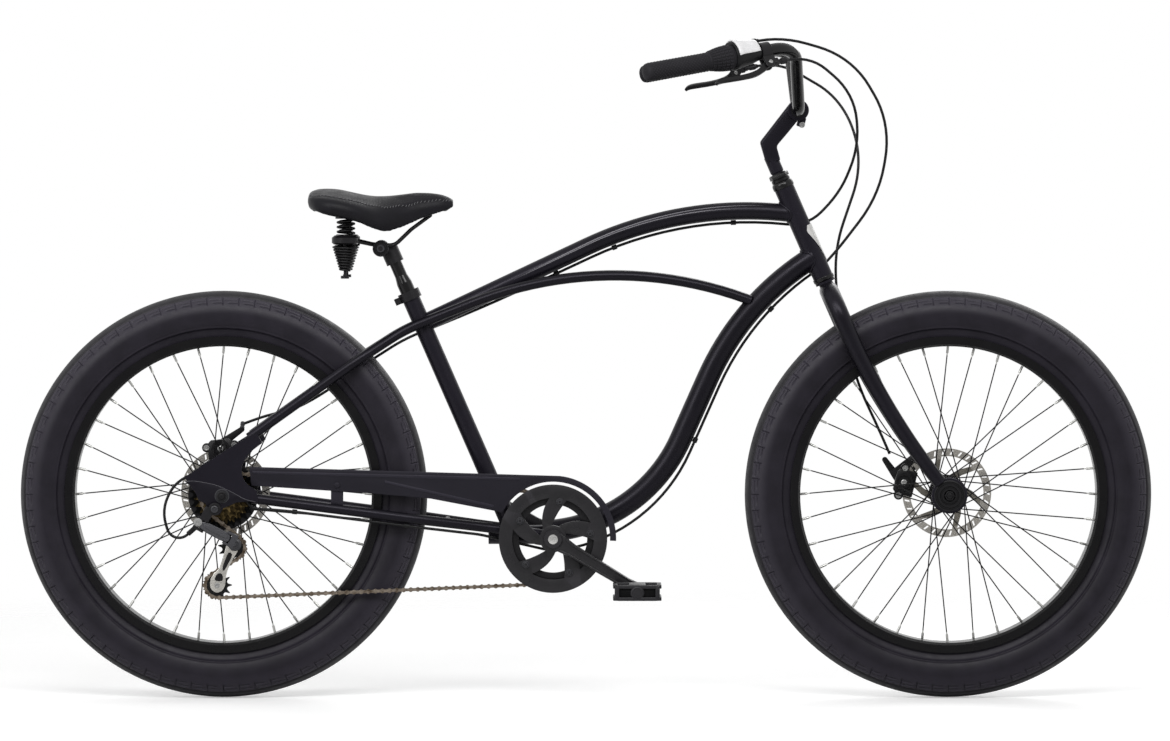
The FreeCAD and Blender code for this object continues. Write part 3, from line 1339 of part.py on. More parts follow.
def shift_outlet():
    """Where the gear cable leaves the shifter."""
    middle = on_grip(-1, HOUSING_START + float(S.housing_length) / 2)
    return middle - lever_drop(-1) * 22 + bar_along(-1) * 38


def shifter_housing(label):
    """Indexing drum beside the twist grip and the pale window cover on top of it."""
    along, middle = bar_along(-1), on_grip(-1, HOUSING_START + float(S.housing_length) / 2)
    drum = cylinder("shifter_drum", S.grip_radius + 3, S.housing_length, on_grip(-1, HOUSING_START), along)
    up = lever_drop(-1) * -1
    turn = Rotation(along, up.cross(along), up, "XYZ")
    pod = box("shifter_pod", float(S.housing_length) - 6, 30, 12, middle + up * 19, turn)
    hole = cylinder("shifter_bore", S.bar_radius, S.housing_length, on_grip(-1, HOUSING_START), along)
    outlet = cylinder("shifter_outlet", 4.5, 16, shift_outlet() - along * 16, along)
    body = cut("shifter_body", fuse("shifter_blank", drum, pod, outlet), hole)
    cover = box("shifter_cover", float(S.housing_length) - 8, 28, 4, middle + up * 27, turn)
    return group(label, body, cover)


PIVOT_DROP = 26.0


def brake_outlet(side, place):
    """Where the brake cable leaves the lever's adjuster."""
    return on_grip(side, place) + lever_drop(side) * 25 + bar_along(side) * 41


def lever_bracket(label, side, place):
    """Bar band with two cheeks, the lever pin and the cable adjuster."""
    along, drop = bar_along(side), lever_drop(side)
    turn = lever_turn(side)
    axis = turn.multVec(Vector(0, 0, 1))
    middle = on_grip(side, place)
    band = cylinder(f"{label}_band", S.bar_radius + 5, 20, on_grip(side, place - 10), along)
    pieces = [band]
    for sign in (1, -1):
        pieces.append(box(f"{label}_cheek{sign}", 20, 22, 4, middle + drop * 22 + axis * (sign * 7), turn))
    pieces.append(box(f"{label}_bridge", 8, 10, 18, middle + drop * 25 + along * 13, turn))
    pieces.append(cylinder(f"{label}_adjuster", 4.5, 26, middle + drop * 25 + along * 15, along))
    hole = cylinder(f"{label}_bore", S.bar_radius, 30, on_grip(side, place - 15), along)
    shaped = cut(f"{label}_casting", fuse(f"{label}_blank", *pieces), hole)
    pin = cylinder(f"{label}_pin", 2.5, 10, middle + drop * PIVOT_DROP - axis * 5, axis)
    return group(label, shaped, pin)


def brake_lever(label, side, place):
    """Curved two-finger blade on its pivot."""
    fit = 2.5 + float(S.running_fit)
    top = PIVOT_DROP
    body = plate(label, [
        (-5, top - 6), (8, top - 6), (24, top + 6), (60, top + 11), (104, top + 9), (116, top + 14),
        (112, top + 22, 118, top + 20), (60, top + 22), (20, top + 17), (0, top + 7), (-5, top + 6)], 9,
        [(0, top, fit)])
    turn = lever_turn(side)
    body.Placement = Placement(on_grip(side, place) - turn.multVec(Vector(0, 0, 4.5)), turn)
    return body


fork_set, left_leg = fork("fork")
NODES += [
    fork_set, stem("stem"), handlebar("handlebar"),
    group("grips", grip("right_grip", -1, S.grip_length),
          grip("left_grip", 1, S.grip_length + S.twist_length)),
    twist_grip("twist_grip"), shifter_housing("shifter_housing"),
    group("lever_brackets", lever_bracket("right_bracket", -1, RIGHT_LEVER),
          lever_bracket("left_bracket", 1, LEFT_LEVER)),
    brake_lever("right_brake_lever", -1, RIGHT_LEVER), brake_lever("left_brake_lever", 1, LEFT_LEVER),
]


# disc brake calipers

ROTOR_HALF = float(S.rotor_thickness) / 2


class Caliper:
    """Where a caliper sits: its wheel, the plane of its rotor and its angle round the hub."""

    def __init__(self, hub_point, rotor_offset, angle, outer_face, mount=0.0):
        self.angle = math.radians(angle)
        self.plane = float(rotor_offset) + ROTOR_HALF
        self.outer_face = outer_face
        self.arm_face = outer_face + mount + float(S.part_gap)
        self.hub = hub_point
        self.turn = Rotation(LEFT, 90 - angle)

    def spot(self, radial, tangential, across):
        """Point at a radius from the hub, ahead or behind along the rim, and across the bicycle."""
        out = Vector(math.cos(self.angle), 0, math.sin(self.angle))
        ahead = Vector(math.sin(self.angle), 0, -math.cos(self.angle))
        return self.hub + out * radial + ahead * tangential + LEFT * across


def caliper(label, where, *extras):
    """Caliper casting that straddles the rotor, its two pads and its mounting pieces."""
    reach = float(S.rotor_radius)
    slot = ROTOR_HALF + 2.3
    inner_face = where.plane - 14
    width = where.outer_face - inner_face
    middle = where.plane - 14 + width / 2
    blank = box(f"{label}_block", 46, width, 36, where.spot(reach - 2, 0, middle), where.turn)
    gap = box(f"{label}_gap", 60, 2 * slot, 60, where.spot(reach + 4 - 30, 0, where.plane), where.turn)
    edge = doc.addObject("Part::Chamfer", f"{label}_eased")
    casting = cut(f"{label}_casting", blank, gap)
    doc.recompute()
    edge.Base = casting
    long_edges = [number + 1 for number, line in enumerate(casting.Shape.Edges)
                  if abs(line.Length - width) < 0.01]
    edge.Edges = [(number, 6.0, 6.0) for number in long_edges]
    pieces = [edge]
    for name, sign in (("inner", -1), ("outer", 1)):
        across = where.plane + sign * (ROTOR_HALF + 0.3 + 1.0)
        pieces.append(box(f"{label}_{name}_pad", 26, 2, 16, where.spot(reach - 9, 0, across), where.turn))
    return group(label, *pieces, *extras)


ARM_RADIUS = float(S.rotor_radius) + 7


def caliper_arm(label, where, lean):
    """Actuating arm on the outer face of a caliper, with the cable clamp at its tip."""
    pivot = where.spot(ARM_RADIUS, 0, where.arm_face)
    body = plate(label, [(0, -8, -8, 0), (46, -5), (46, 5, 51, 0), (0, 8)], 4)
    knob = new_sketch(body)
    draw_circle(knob, 46, 0, 4)
    pad(body, knob, 9)
    body.Placement = Placement(pivot, Rotation(LEFT, -lean) * SIDEWAYS)
    return body


MOUNT_THICKNESS = 6.0
rear_brake = Caliper(rear_hub, S.rear_rotor_offset, 96, float(rear_half))
front_brake = Caliper(front_hub, S.front_rotor_offset, 166, float(S.front_rotor_offset) + 15, MOUNT_THICKNESS)
mount_spot = front_hub + Vector(-66, front_brake.outer_face + MOUNT_THICKNESS / 2, 49)
mount_bar = box("front_mount_bar", 70, MOUNT_THICKNESS, 26, mount_spot, Rotation(LEFT, -38))
front_mount = cut("front_caliper_mount", mount_bar, left_leg)
NODES += [
    caliper("rear_caliper", rear_brake), caliper("front_caliper", front_brake, front_mount),
    caliper_arm("rear_caliper_arm", rear_brake, 35), caliper_arm("front_caliper_arm", front_brake, 125),
]


# derailleur

LINK_LEAN = 28.17
LINK_RUN = 48.8
LINK_IN = 8.0
LINK_APART = 14.0
LINK_HEIGHT = 16.0
link_turn = Rotation(LEFT, LINK_LEAN)
first_pin = from_hub(-33, -float(rear_half) - 17, -52)
PIN = 2.0


def by_link(along, across, up):
    """Point in the frame of the derailleur's parallelogram."""
    return first_pin + link_turn.multVec(Vector(along, across, up))


LINK_UP = link_turn.multVec(Vector(0, 0, 1))
adjuster_base = by_link(-10, 7, -8)
adjuster_way = Vector(-0.75, 0, -0.66).normalize()
ADJUSTER_LENGTH = 20.0


def link_pin(label, along, across):
    """Pin through both lugs of a knuckle."""
    return cylinder(label, PIN, LINK_HEIGHT + 9, by_link(along, across, -LINK_HEIGHT / 2 - 4.5), LINK_UP)


def derailleur_link(label, across):
    """Flat link with a barrel round each of its two pins."""
    low = -LINK_HEIGHT / 2
    lean = math.degrees(math.atan2(LINK_IN, LINK_RUN))
    length = math.hypot(LINK_RUN, LINK_IN)
    turn = link_turn * Rotation(Vector(0, 0, 1), lean)
    bar = box(f"{label}_bar", length, 3, LINK_HEIGHT, by_link(LINK_RUN / 2, across + LINK_IN / 2, 0), turn)
    ends = [(0, across), (LINK_RUN, across + LINK_IN)]
    barrels = [cylinder(f"{label}_barrel{number}", 4, LINK_HEIGHT, by_link(*end, low), LINK_UP)
               for number, end in enumerate(ends)]
    bore = PIN + float(S.running_fit)
    bores = [cylinder(f"{label}_bore{number}", bore, LINK_HEIGHT, by_link(*end, low), LINK_UP)
             for number, end in enumerate(ends)]
    return cut(label, fuse(f"{label}_blank", bar, *barrels), *bores)


def lugs(label, along, across, back):
    """Two lugs above and below the links, joined by a web on one side."""
    gap = LINK_HEIGHT / 2 + float(S.part_gap)
    wide = LINK_APART + 8
    middle = across + LINK_APART / 2
    pieces = []
    for sign in (1, -1):
        spot = by_link(along + back * 5.5, middle, sign * (gap + 2))
        pieces.append(box(f"{label}_lug{sign}", 21, wide, 4, spot, link_turn))
    web_spot = by_link(along + back * 10.75, middle, 0)
    pieces.append(box(f"{label}_web", 10.5, wide, 2 * gap + 8, web_spot, link_turn))
    return pieces


def derailleur_base(label):
    """Upper knuckle with its mounting bolt, lugs, link pins and cable adjuster."""
    outside = -float(rear_half + S.dropout_thickness)
    hanger = from_hub(HANGER[0], 0, HANGER[1])
    boss = cylinder("upper_boss", 11, 16, beside(hanger, outside), RIGHT)
    neck = box("upper_neck", 17, 16, 24, by_link(-3.5, 3, 21), link_turn)
    adjuster = cylinder("derailleur_adjuster", 4.5, ADJUSTER_LENGTH, adjuster_base, adjuster_way)
    body = fuse("upper_blank", boss, neck, adjuster, *lugs("upper", 0, 0, -1),
                link_pin("upper_pin_outer", 0, 0), link_pin("upper_pin_inner", 0, LINK_APART))
    hole = cylinder("upper_bolt_hole", 4, 30, beside(hanger, outside + 10), RIGHT)
    bolt = fuse("upper_bolt", cylinder("upper_bolt_rod", 4, 24, beside(hanger, outside + 6), RIGHT),
                cylinder("upper_bolt_head", 6.5, 3, beside(hanger, outside - 16), RIGHT))
    return group(label, cut("upper_knuckle", body, hole), bolt)


KNUCKLE_INNER = CHAIN_Y - 10
KNUCKLE_LENGTH = 19.0


def derailleur_knuckle(label):
    """Lower knuckle: lugs, link pins and the spring drum that carries the cage."""
    drum = cylinder("cage_drum", 11, KNUCKLE_LENGTH, beside(CAGE_PIVOT, KNUCKLE_INNER), RIGHT)
    body = fuse("lower_blank", drum, *lugs("lower", LINK_RUN, LINK_IN, 1),
                link_pin("lower_pin_outer", LINK_RUN, LINK_IN),
                link_pin("lower_pin_inner", LINK_RUN, LINK_IN + LINK_APART))
    hole = cylinder("cage_pivot_hole", 4 + float(S.running_fit), 15, beside(CAGE_PIVOT, KNUCKLE_INNER), RIGHT)
    return cut(label, body, hole)


CAGE_HALF = 5.5
CAGE_PLATE = 1.5
PULLEY_PIN = 3.0


def cage_plate(label, outer_face):
    """Long side plate of the cage with a window between the pulleys."""
    run = loop.tension - loop.guide
    length = run.Length
    body = plate(label, [
        (-9, -7), (-9, 7), (-4, 11), (length * 0.4, 10), (length, 8.5), (length, -8.5, length + 8.5, 0),
        (length * 0.4, -10), (-4, -11)], CAGE_PLATE)
    window = new_sketch(body)
    draw_outline(window, [(16, -5.5), (length - 14, -4.5), (length - 14, 4.5), (16, 5.5)])
    pocket_through(body, window)
    lean = -math.degrees(math.atan2(run.z, run.x))
    body.Placement = Placement(beside(loop.guide, outer_face), Rotation(LEFT, lean) * SIDEWAYS)
    return body


def derailleur_cage(label):
    """Two cage plates with the pulley bolts and the pivot that turns in the lower knuckle."""
    outer, inner = CHAIN_Y - CAGE_HALF - CAGE_PLATE, CHAIN_Y + CAGE_HALF
    hub_gap = float(S.part_gap)
    pieces = [cage_plate("cage_outer_plate", outer), cage_plate("cage_inner_plate", inner)]
    for name, spot in (("guide", loop.guide), ("tension", loop.tension)):
        pieces.append(cylinder(f"{name}_bolt", PULLEY_PIN, inner - outer, beside(spot, outer), LEFT))
        pieces.append(cylinder(f"{name}_bolt_head", 5, 2, beside(spot, outer), RIGHT))
    boss = outer - KNUCKLE_INNER - hub_gap
    pieces.append(cylinder("cage_boss", 9, boss, beside(CAGE_PIVOT, KNUCKLE_INNER + hub_gap), LEFT))
    pieces.append(cylinder("cage_pin", 4, 14 + hub_gap, beside(CAGE_PIVOT, KNUCKLE_INNER + hub_gap), RIGHT))
    ear_spot = beside((CAGE_PIVOT + loop.guide) * 0.5, outer + CAGE_PLATE / 2)
    pieces.append(box("cage_ear", 16, CAGE_PLATE, 14, ear_spot))
    return fuse(label, *pieces)


NODES += [
    derailleur_base("derailleur_base"), derailleur_link("derailleur_outer_link", 0),
    derailleur_link("derailleur_inner_link", LINK_APART), derailleur_knuckle("derailleur_knuckle"),
    derailleur_cage("derailleur_cage"),
    sprocket("guide_pulley", PULLEY_TEETH, loop.guide, CHAIN_Y, PULLEY_PIN + float(S.running_fit)),
    sprocket("tension_pulley", PULLEY_TEETH, loop.tension, CHAIN_Y, PULLEY_PIN + float(S.running_fit)),
]


# seat

POST_TOP = 561.0
saddle_point = on_seat_tube(POST_TOP)


def by_saddle(ahead, across, above):
    """Point near the top of the seat post."""
    return saddle_point + Vector(ahead, across, above)


def seat_post(label):
    """Straight post with a narrower neck."""
    low = POST_TOP - 235
    height = S.seat_tube_top - low + 20
    post = turned(label, [
        (0, 0), (S.post_radius, 0), (S.post_radius, height), (11.1, height + 14), (11.1, 240), (0, 240)])
    post.Placement = Placement(on_seat_tube(low), seat_turn)
    return post


SPRING_SPOT = (-79.0, 62.0)
COLLAR_LOW, COLLAR_HIGH = 12.0, 28.0
RAIL_SIDE = 22.0
RAIL_RADIUS = 3.5
NOSE_BAR = (72.0, 63.0)
OPEN_TURNS, OPEN_PITCH = 3, 8.4
CONE_TURNS, CONE_PITCH, CONE_TAPER = 9, 4.9, 1.45


def saddle_rails(label):
    """Two bent rails, the post clamp with its bolt and the two spring collars with their plugs."""
    pieces = []
    post = cylinder("rail_post_space", 11.1, 260, on_seat_tube(POST_TOP - 235), seat_up)
    clamp_spot = by_saddle(-6, 0, 0)
    drum = cylinder("clamp_drum", 14, 60, beside(clamp_spot, -30) + Vector(-10, 0, 4), LEFT)
    band = cylinder("clamp_band", 16, 30, on_seat_tube(POST_TOP - 24), seat_up)
    bolt = cylinder("clamp_bolt_head", 7, 5, beside(clamp_spot, -35) + Vector(-10, 0, 4), LEFT)
    rails = []
    for name, side in (("right", -1), ("left", 1)):
        line = [by_saddle(NOSE_BAR[0], side * 12, NOSE_BAR[1]), by_saddle(38, side * 18, 38),
                by_saddle(8, side * RAIL_SIDE, 9),
                by_saddle(-30, side * RAIL_SIDE, 11),
                by_saddle(SPRING_SPOT[0] + 8, side * (SPRING_SPOT[1] - 18), (COLLAR_LOW + COLLAR_HIGH) / 2)]
        rails.append(swept(f"{name}_rail", line, [40.0, 24.0, 24.0], RAIL_RADIUS))
    clamp = cut("saddle_clamp", fuse("clamp_blank", drum, band), post, *rails)
    nose = by_saddle(NOSE_BAR[0], -14, NOSE_BAR[1])
    pieces.append(cut("rail_cross_bar", cylinder("cross_bar", RAIL_RADIUS, 28, nose, LEFT), *rails))
    for name, side, rail in (("right", -1, rails[0]), ("left", 1, rails[1])):
        spot = by_saddle(SPRING_SPOT[0], side * SPRING_SPOT[1], 0)
        collar = turned(f"{name}_spring_collar", [
            (0, COLLAR_LOW), (20, COLLAR_LOW), (23.5, COLLAR_LOW + 3), (23.5, COLLAR_HIGH - 4),
            (19, COLLAR_HIGH), (0, COLLAR_HIGH)])
        collar.Placement = Placement(spot, Rotation())
        pieces.append(collar)
        pieces.append(cut(f"{name}_rail_end", rail, collar))
        rod_foot = spot + Vector(0, 0, -44)
        pieces.append(cylinder(f"{name}_spring_rod", 2.5, COLLAR_LOW + 44, rod_foot, Vector(0, 0, 1)))
        pieces.append(cylinder(f"{name}_spring_plug", 7.5, 5, spot + Vector(0, 0, -49), Vector(0, 0, 1)))
    return group(label, clamp, bolt, *pieces)


def coil_path(radius_at, height_at, turns):
    """Tangent arcs, two to each quarter turn, along a coil whose radius and height may change."""
    def spot(turn):
        angle = 2 * math.pi * turn
        return Vector(radius_at(turn) * math.cos(angle), radius_at(turn) * math.sin(angle), height_at(turn))

    def heading(turn):
        small = 1e-5
        return (spot(turn + small) - spot(turn - small)).normalize()

    edges = []
    for number in range(int(turns * 4)):
        here, there = number / 4, (number + 1) / 4
        start, end = spot(here), spot(there)
        leaving, arriving = heading(here), heading(there)
        chord = end - start
        total = leaving + arriving
        bend = 2 * (1 - leaving.dot(arriving))
        reach = (-chord.dot(total) + math.sqrt(chord.dot(total) ** 2 + bend * chord.dot(chord))) / bend
        corners = [start + leaving * reach, end - arriving * reach]
        joint = (corners[0] + corners[1]) * 0.5
        for begin, corner, finish in ((start, corners[0], joint), (joint, corners[1], end)):
            edges.append(rounded_corner(begin, corner, finish))
    return Part.Wire(edges)


def rounded_corner(begin, corner, finish):
    """Arc from one point to another, tangent to both legs of the corner between them."""
    back, ahead = (begin - corner).normalize(), (finish - corner).normalize()
    half_turn = (math.pi - back.getAngle(ahead)) / 2
    depth = (begin - corner).Length * (1 / math.cos(half_turn) - 1) / math.tan(half_turn)
    return Part.Arc(begin, corner + (back + ahead).normalize() * depth, finish).toShape()


def coil(label, radius_at, height_at, turns, spot):
    """Round wire wound along a coil."""
    path = coil_path(radius_at, height_at, turns)
    first = path.Edges[0]
    start = first.valueAt(first.FirstParameter)
    direction = first.tangentAt(first.FirstParameter)
    ring = Part.Wire(Part.Circle(start, direction, float(S.spring_wire_radius)).toShape())
    thing = made(label, path.makePipeShell([ring], True, False))
    thing.Placement = Placement(spot, Rotation())
    samples = path.discretize(Number=int(turns * 72))
    gaps = [(samples[i] - samples[j]).Length for i in range(0, len(samples), 3)
            for j in range(i + 54, len(samples))]
    print(f"{label}: least distance between turns {min(gaps) - 2 * float(S.spring_wire_radius):.2f} mm")
    return thing


def saddle_springs(label):
    """On each side a closed cone of wire under the collar and an open coil above it."""
    wire = float(S.spring_wire_radius)
    pieces = []
    for name, side in (("right", -1), ("left", 1)):
        spot = by_saddle(SPRING_SPOT[0], side * SPRING_SPOT[1], 0)
        top = COLLAR_LOW - wire - float(S.part_gap)
        pieces.append(coil(f"{name}_cone_coil", lambda turn: 21.3 - CONE_TAPER * turn,
                           lambda turn: top - CONE_PITCH * turn, CONE_TURNS, spot))
        low = COLLAR_HIGH + wire + float(S.part_gap)
        pieces.append(coil(f"{name}_open_coil", lambda turn: 13.0, lambda turn: low + OPEN_PITCH * turn,
                           OPEN_TURNS, spot))
    return group(label, *pieces)


# stations of the saddle: distance ahead, half width, top and skirt heights above the post
SADDLE = (
    (-147, 0.58, 103, 84), (-128, 0.88, 110, 68), (-85, 1.0, 106, 57), (-43, 0.88, 97, 45),
    (-14, 0.68, 95, 34), (20, 0.46, 98, 40), (60, 0.30, 103, 57), (95, 0.22, 101, 69),
    (115, 0.12, 92, 77))
PAN_DEPTH = 25.0
SEAT_TOP = 78.0


def saddle_stations(first, last):
    """Stations as (ahead, half width, top, bottom) in millimetres."""
    for ahead, share, top, bottom in SADDLE[first:last]:
        stretch = float(S.saddle_length) / 262
        yield ahead * stretch, share * float(S.saddle_width) / 2, top, bottom


def lofted(label, wires):
    """Smooth solid through a row of closed sections."""
    return made(label, Part.makeLoft(wires, True, False))


def section(ahead, corners):
    """Closed section across the saddle; a third entry bends the edge that arrives there."""
    spots = [by_saddle(ahead, corner[0], corner[1]) for corner in corners]
    edges = []
    for index, corner in enumerate(corners):
        if len(corner) == 4:
            middle = by_saddle(ahead, corner[2], corner[3])
            edges.append(Part.Arc(spots[index - 1], middle, spots[index]).toShape())
        else:
            edges.append(Part.LineSegment(spots[index - 1], spots[index]).toShape())
    return Part.Wire(edges)


def saddle_cover(label):
    """Sprung-saddle cushion: crowned top, drawn-in sides and a hollow under side."""
    outer = []
    for ahead, half, top, bottom in saddle_stations(0, 9):
        depth = top - bottom
        shoulder = (half * 0.86, bottom + depth * 0.72)
        outer.append(section(ahead, [
            (half * 0.9, bottom), (*shoulder, half, bottom + depth * 0.4),
            (-shoulder[0], shoulder[1], 0, top), (-half * 0.9, bottom, -half, bottom + depth * 0.4)]))
    hollow = []
    for ahead, half, top, bottom in saddle_stations(1, 8):
        inner, roof = half * 0.9 - 7, top - PAN_DEPTH
        below = bottom - 40
        hollow.append(section(ahead, [(inner, below), (inner, roof), (-inner, roof), (-inner, below)]))
    return cut(label, lofted("saddle_cushion", outer), lofted("saddle_hollow", hollow))


def saddle_base(label, cushion):
    """Moulded pan that fills the roof of the cushion, with the seats of springs and rails under it."""
    wires = []
    for ahead, half, top, _ in saddle_stations(1, 8):
        inner, roof = half * 0.9 - 6, top - PAN_DEPTH + 1
        wires.append(section(ahead, [(inner, roof - 5), (inner, roof), (-inner, roof), (-inner, roof - 5)]))
    pieces = [lofted("saddle_pan", wires)]
    coil_top = COLLAR_HIGH + OPEN_PITCH * OPEN_TURNS + 2 * float(S.spring_wire_radius + S.part_gap)
    for name, side in (("right", -1), ("left", 1)):
        spot = by_saddle(SPRING_SPOT[0], side * SPRING_SPOT[1], coil_top)
        pieces.append(cylinder(f"{name}_spring_seat", 17, SEAT_TOP - coil_top, spot, Vector(0, 0, 1)))
    low = NOSE_BAR[1] + RAIL_RADIUS + float(S.part_gap)
    middle = by_saddle(NOSE_BAR[0], 0, (SEAT_TOP + low) / 2)
    pieces.append(box("nose_block", 24, 30, SEAT_TOP - low, middle))
    return cut(label, fuse("saddle_base_blank", *pieces), cushion)


cushion = saddle_cover("saddle_cover")
NODES += [
    seat_post("seat_post"), saddle_rails("saddle_rails"), saddle_springs("saddle_springs"),
    saddle_base("saddle_base", cushion), cushion,
]


# cables

CLIP_RADIUS = 4.4
CABLE_STANDOFF = CLIP_RADIUS + 0.2


def crossing(first, second):
    """Point where two lines of the middle plane meet; each line is a point and a direction."""
    (spot, way), (other, heading) = first, second
    gap = other - spot
    share = (gap.x * heading.z - gap.z * heading.x) / (way.x * heading.z - way.z * heading.x)
    return spot + way * share


def side_line(start, end, distance):
    """Line beside a straight run of the middle plane, to the left of its direction."""
    way = (end - start).normalize()
    return start + Vector(-way.z, 0, way.x) * distance, way


def at_x(line, x):
    """Point of a line of the middle plane at a given X."""
    spot, way = line
    return spot + way * ((x - spot.x) / way.x)


def bend_radii(points, stated):
    """Radius of each inner corner: as stated, or as large as the straight runs beside it allow."""
    halves = []
    for index in range(1, len(points) - 1):
        back, ahead = points[index - 1] - points[index], points[index + 1] - points[index]
        halves.append(max((math.pi - back.getAngle(ahead)) / 2, 1e-3))
    used = {index: stated[index] * math.tan(halves[index - 1]) for index in stated}
    used[0] = used[len(points) - 1] = 0.0
    radii = []
    for index in range(1, len(points) - 1):
        rooms = []
        for other in (index - 1, index + 1):
            run = (points[other] - points[index]).Length
            rooms.append((run - used[other]) * 0.98 if other in used else run * 0.49)
        radii.append(stated.get(index, min(rooms) / math.tan(halves[index - 1])))
    return radii


def cable(label, stops):
    """Cable housing through its stops; a stop is a point, or a point with the radius of its bend."""
    points = [stop[0] if isinstance(stop, tuple) else stop for stop in stops]
    stated = {index: stop[1] for index, stop in enumerate(stops) if isinstance(stop, tuple)}
    tube = swept(label, points, bend_radii(points, stated), S.cable_radius)
    print(f"{label}: {tube.Spine[0].Shape.Length:.0f} mm long")
    return tube


def under_top_tube():
    """Lines just under the two straight runs of the top tube."""
    offset = float(S.top_tube_radius) + CABLE_STANDOFF
    return side_line(top_line[0], top_line[1], offset), side_line(top_line[1], top_line[2], offset)


def under_stay(point):
    """Point of the left arched stay moved to its under side."""
    return point + Vector(0, 0, -(float(S.stay_radius) + CABLE_STANDOFF) * 1.25)


def rear_brake_cable(label):
    """From the right lever, past the head tube, under the top tube and the left stay to the rear caliper."""
    start = brake_outlet(-1, RIGHT_LEVER)
    front, back = under_top_tube()
    bend = crossing(front, back)
    leave = at_x(back, seat_joint.x + 235)
    side = on_steerer(HEAD_TOP - 55)
    stay_spot = stay_line[2] + (stay_line[1] - stay_line[2]) * 0.36
    low, leaving = (stay_line[3] + (stay_line[4] - stay_line[3]) * share for share in (0.36, 0.62))
    tip = rear_brake.spot(float(S.rotor_radius) + 35, 36, rear_brake.arm_face + 7)
    inside_radius = float(S.top_bend_radius - S.top_tube_radius) - CABLE_STANDOFF
    return cable(label, [
        start, start + bar_along(-1) * 45,
        bar_clamp + Vector(97, -120, 30), bar_clamp + Vector(108, -45, -66),
        side + Vector(78, 18, 40), beside(at_x(front, side.x + 20), 31), (beside(bend, 6), inside_radius),
        beside(leave, 6), under_stay(stay_spot), (under_stay(stay_line[2]), stay_radii[1]),
        (under_stay(stay_line[3]), stay_radii[2]), under_stay(low), leaving + Vector(0, 15, -8),
        tip + Vector(50, 9, 20), tip + Vector(6, 3, 4)])


def under_down_tube():
    """Lines just under the upper and middle runs of the down tube."""
    offset = float(S.down_tube_radius) + CABLE_STANDOFF
    return side_line(down_line[0], down_line[1], offset), side_line(down_line[1], down_line[2], offset)


def shift_cable(label):
    """From the shifter, past the head tube, under the down tube and right chainstay to the derailleur."""
    start = shift_outlet()
    upper, middle = under_down_tube()
    bend = crossing(upper, middle)
    below = -float(S.bracket_shell_radius) - CABLE_STANDOFF - 1
    turn = crossing(middle, (from_bracket(0, 0, below), Vector(1, 0, 0.165)))
    side = on_steerer(HEAD_BOTTOM + 22)
    drop = Vector(0, 0, -(float(S.stay_radius) + CABLE_STANDOFF) * 1.04)
    inside = -float(rear_half) + 3.2
    upper_radius = float(S.down_bend_radius - S.down_tube_radius) - CABLE_STANDOFF
    end = adjuster_base + adjuster_way * ADJUSTER_LENGTH

    def right_chainstay(number):
        return beside(chainstay_line[number], -chainstay_line[number].y) + drop

    return cable(label, [
        start, start + bar_along(-1) * 50,
        bar_clamp + Vector(92, -135, 95), bar_clamp + Vector(165, -60, -24),
        bar_clamp + Vector(145, -5, -154), side + Vector(38, 33, 30), beside(at_x(upper, side.x + 8), 29),
        (bend, upper_radius), (turn, float(S.down_foot_radius) + 20), from_bracket(0, -8, below),
        (right_chainstay(2), chainstay_radii[1]), (right_chainstay(1), chainstay_radii[0]),
        from_hub(110, -68.4, -26.2), from_hub(47, inside, -22), from_hub(38, inside, 12),
        from_hub(8, inside, 46), from_hub(-42, inside, 44), from_hub(-85, inside, 24),
        from_hub(-108, -80, -25),
        end + adjuster_way * 36, end])


def front_brake_cable(label):
    """From the left lever down the outside of the left fork leg to the front caliper."""
    start = brake_outlet(1, LEFT_LEVER)
    out = float(S.leg_spread + S.leg_top_radius) + 5
    crown = on_steerer(HEAD_BOTTOM - 35)
    tip = front_brake.spot(float(S.rotor_radius) + 35, 36, front_brake.arm_face + 7)
    return cable(label, [
        start, start + bar_along(1) * 45, bar_clamp + Vector(85, 140, 20), bar_clamp + Vector(122, 105, -94),
        beside(on_steerer(HEAD_BOTTOM + 60), out) + Vector(50, 0, 0), beside(crown, out) + Vector(12, 0, 0),
        beside(on_steerer(235), out) + Vector(-20, 0, 0), tip + Vector(-18, 8, 50), tip + Vector(1, 2, 6)])


def clips(label, spots):
    """Small bands that hold the cables to the frame; a spot is a cable and a point near it."""
    pieces = []
    for number, (held, near) in enumerate(spots):
        samples = held.Spine[0].Shape.discretize(Number=900)
        index = min(range(1, len(samples) - 1), key=lambda item: samples[item].distanceToPoint(near))
        way = (samples[index + 1] - samples[index - 1]).normalize()
        base = samples[index] - way * 4.5
        outer = cylinder(f"clip_band{number}", CLIP_RADIUS, 9, base, way)
        inner = cylinder(f"clip_hole{number}", S.cable_radius + 0.1, 9, base, way)
        pieces.append(cut(f"clip{number}", outer, inner))
    return group(label, *pieces)


rear_cable = rear_brake_cable("rear_brake_cable")
gear_cable = shift_cable("shift_cable")
NODES += [
    group("control_cables", rear_cable, gear_cable), front_brake_cable("front_brake_cable"),
    clips("cable_clips", [
        (rear_cable, top_head + Vector(-110, 0, -10)), (rear_cable, top_bend + Vector(-130, 0, -60)),
        (rear_cable, seat_joint + Vector(245, 0, 80)), (rear_cable, from_hub(208, 63, 196)),
        (gear_cable, down_bend + Vector(52, 0, 0)), (gear_cable, down_turn + Vector(90, 0, 140)),
        (gear_cable, from_hub(330, -62, -50)), (gear_cable, from_hub(130, -68, -30))]),
]


# writing

doc.recompute()
for thing in doc.Objects:
    if "Invalid" in thing.State or "Error" in thing.State:
        raise SystemExit(f"{thing.Label}: not rebuilt")
os.makedirs("parts", exist_ok=True)
for node in NODES:
    shape = node.Shape
    if shape.isNull() or not shape.isValid() or not shape.Solids:
        raise SystemExit(f"{node.Label}: no valid solid")
    shape.exportStep(f"parts/{node.Label}.step")
    print(f"{node.Label}: {len(shape.Solids)} solids, {shape.Volume / 1000:.1f} cm3")
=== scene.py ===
import json
import math

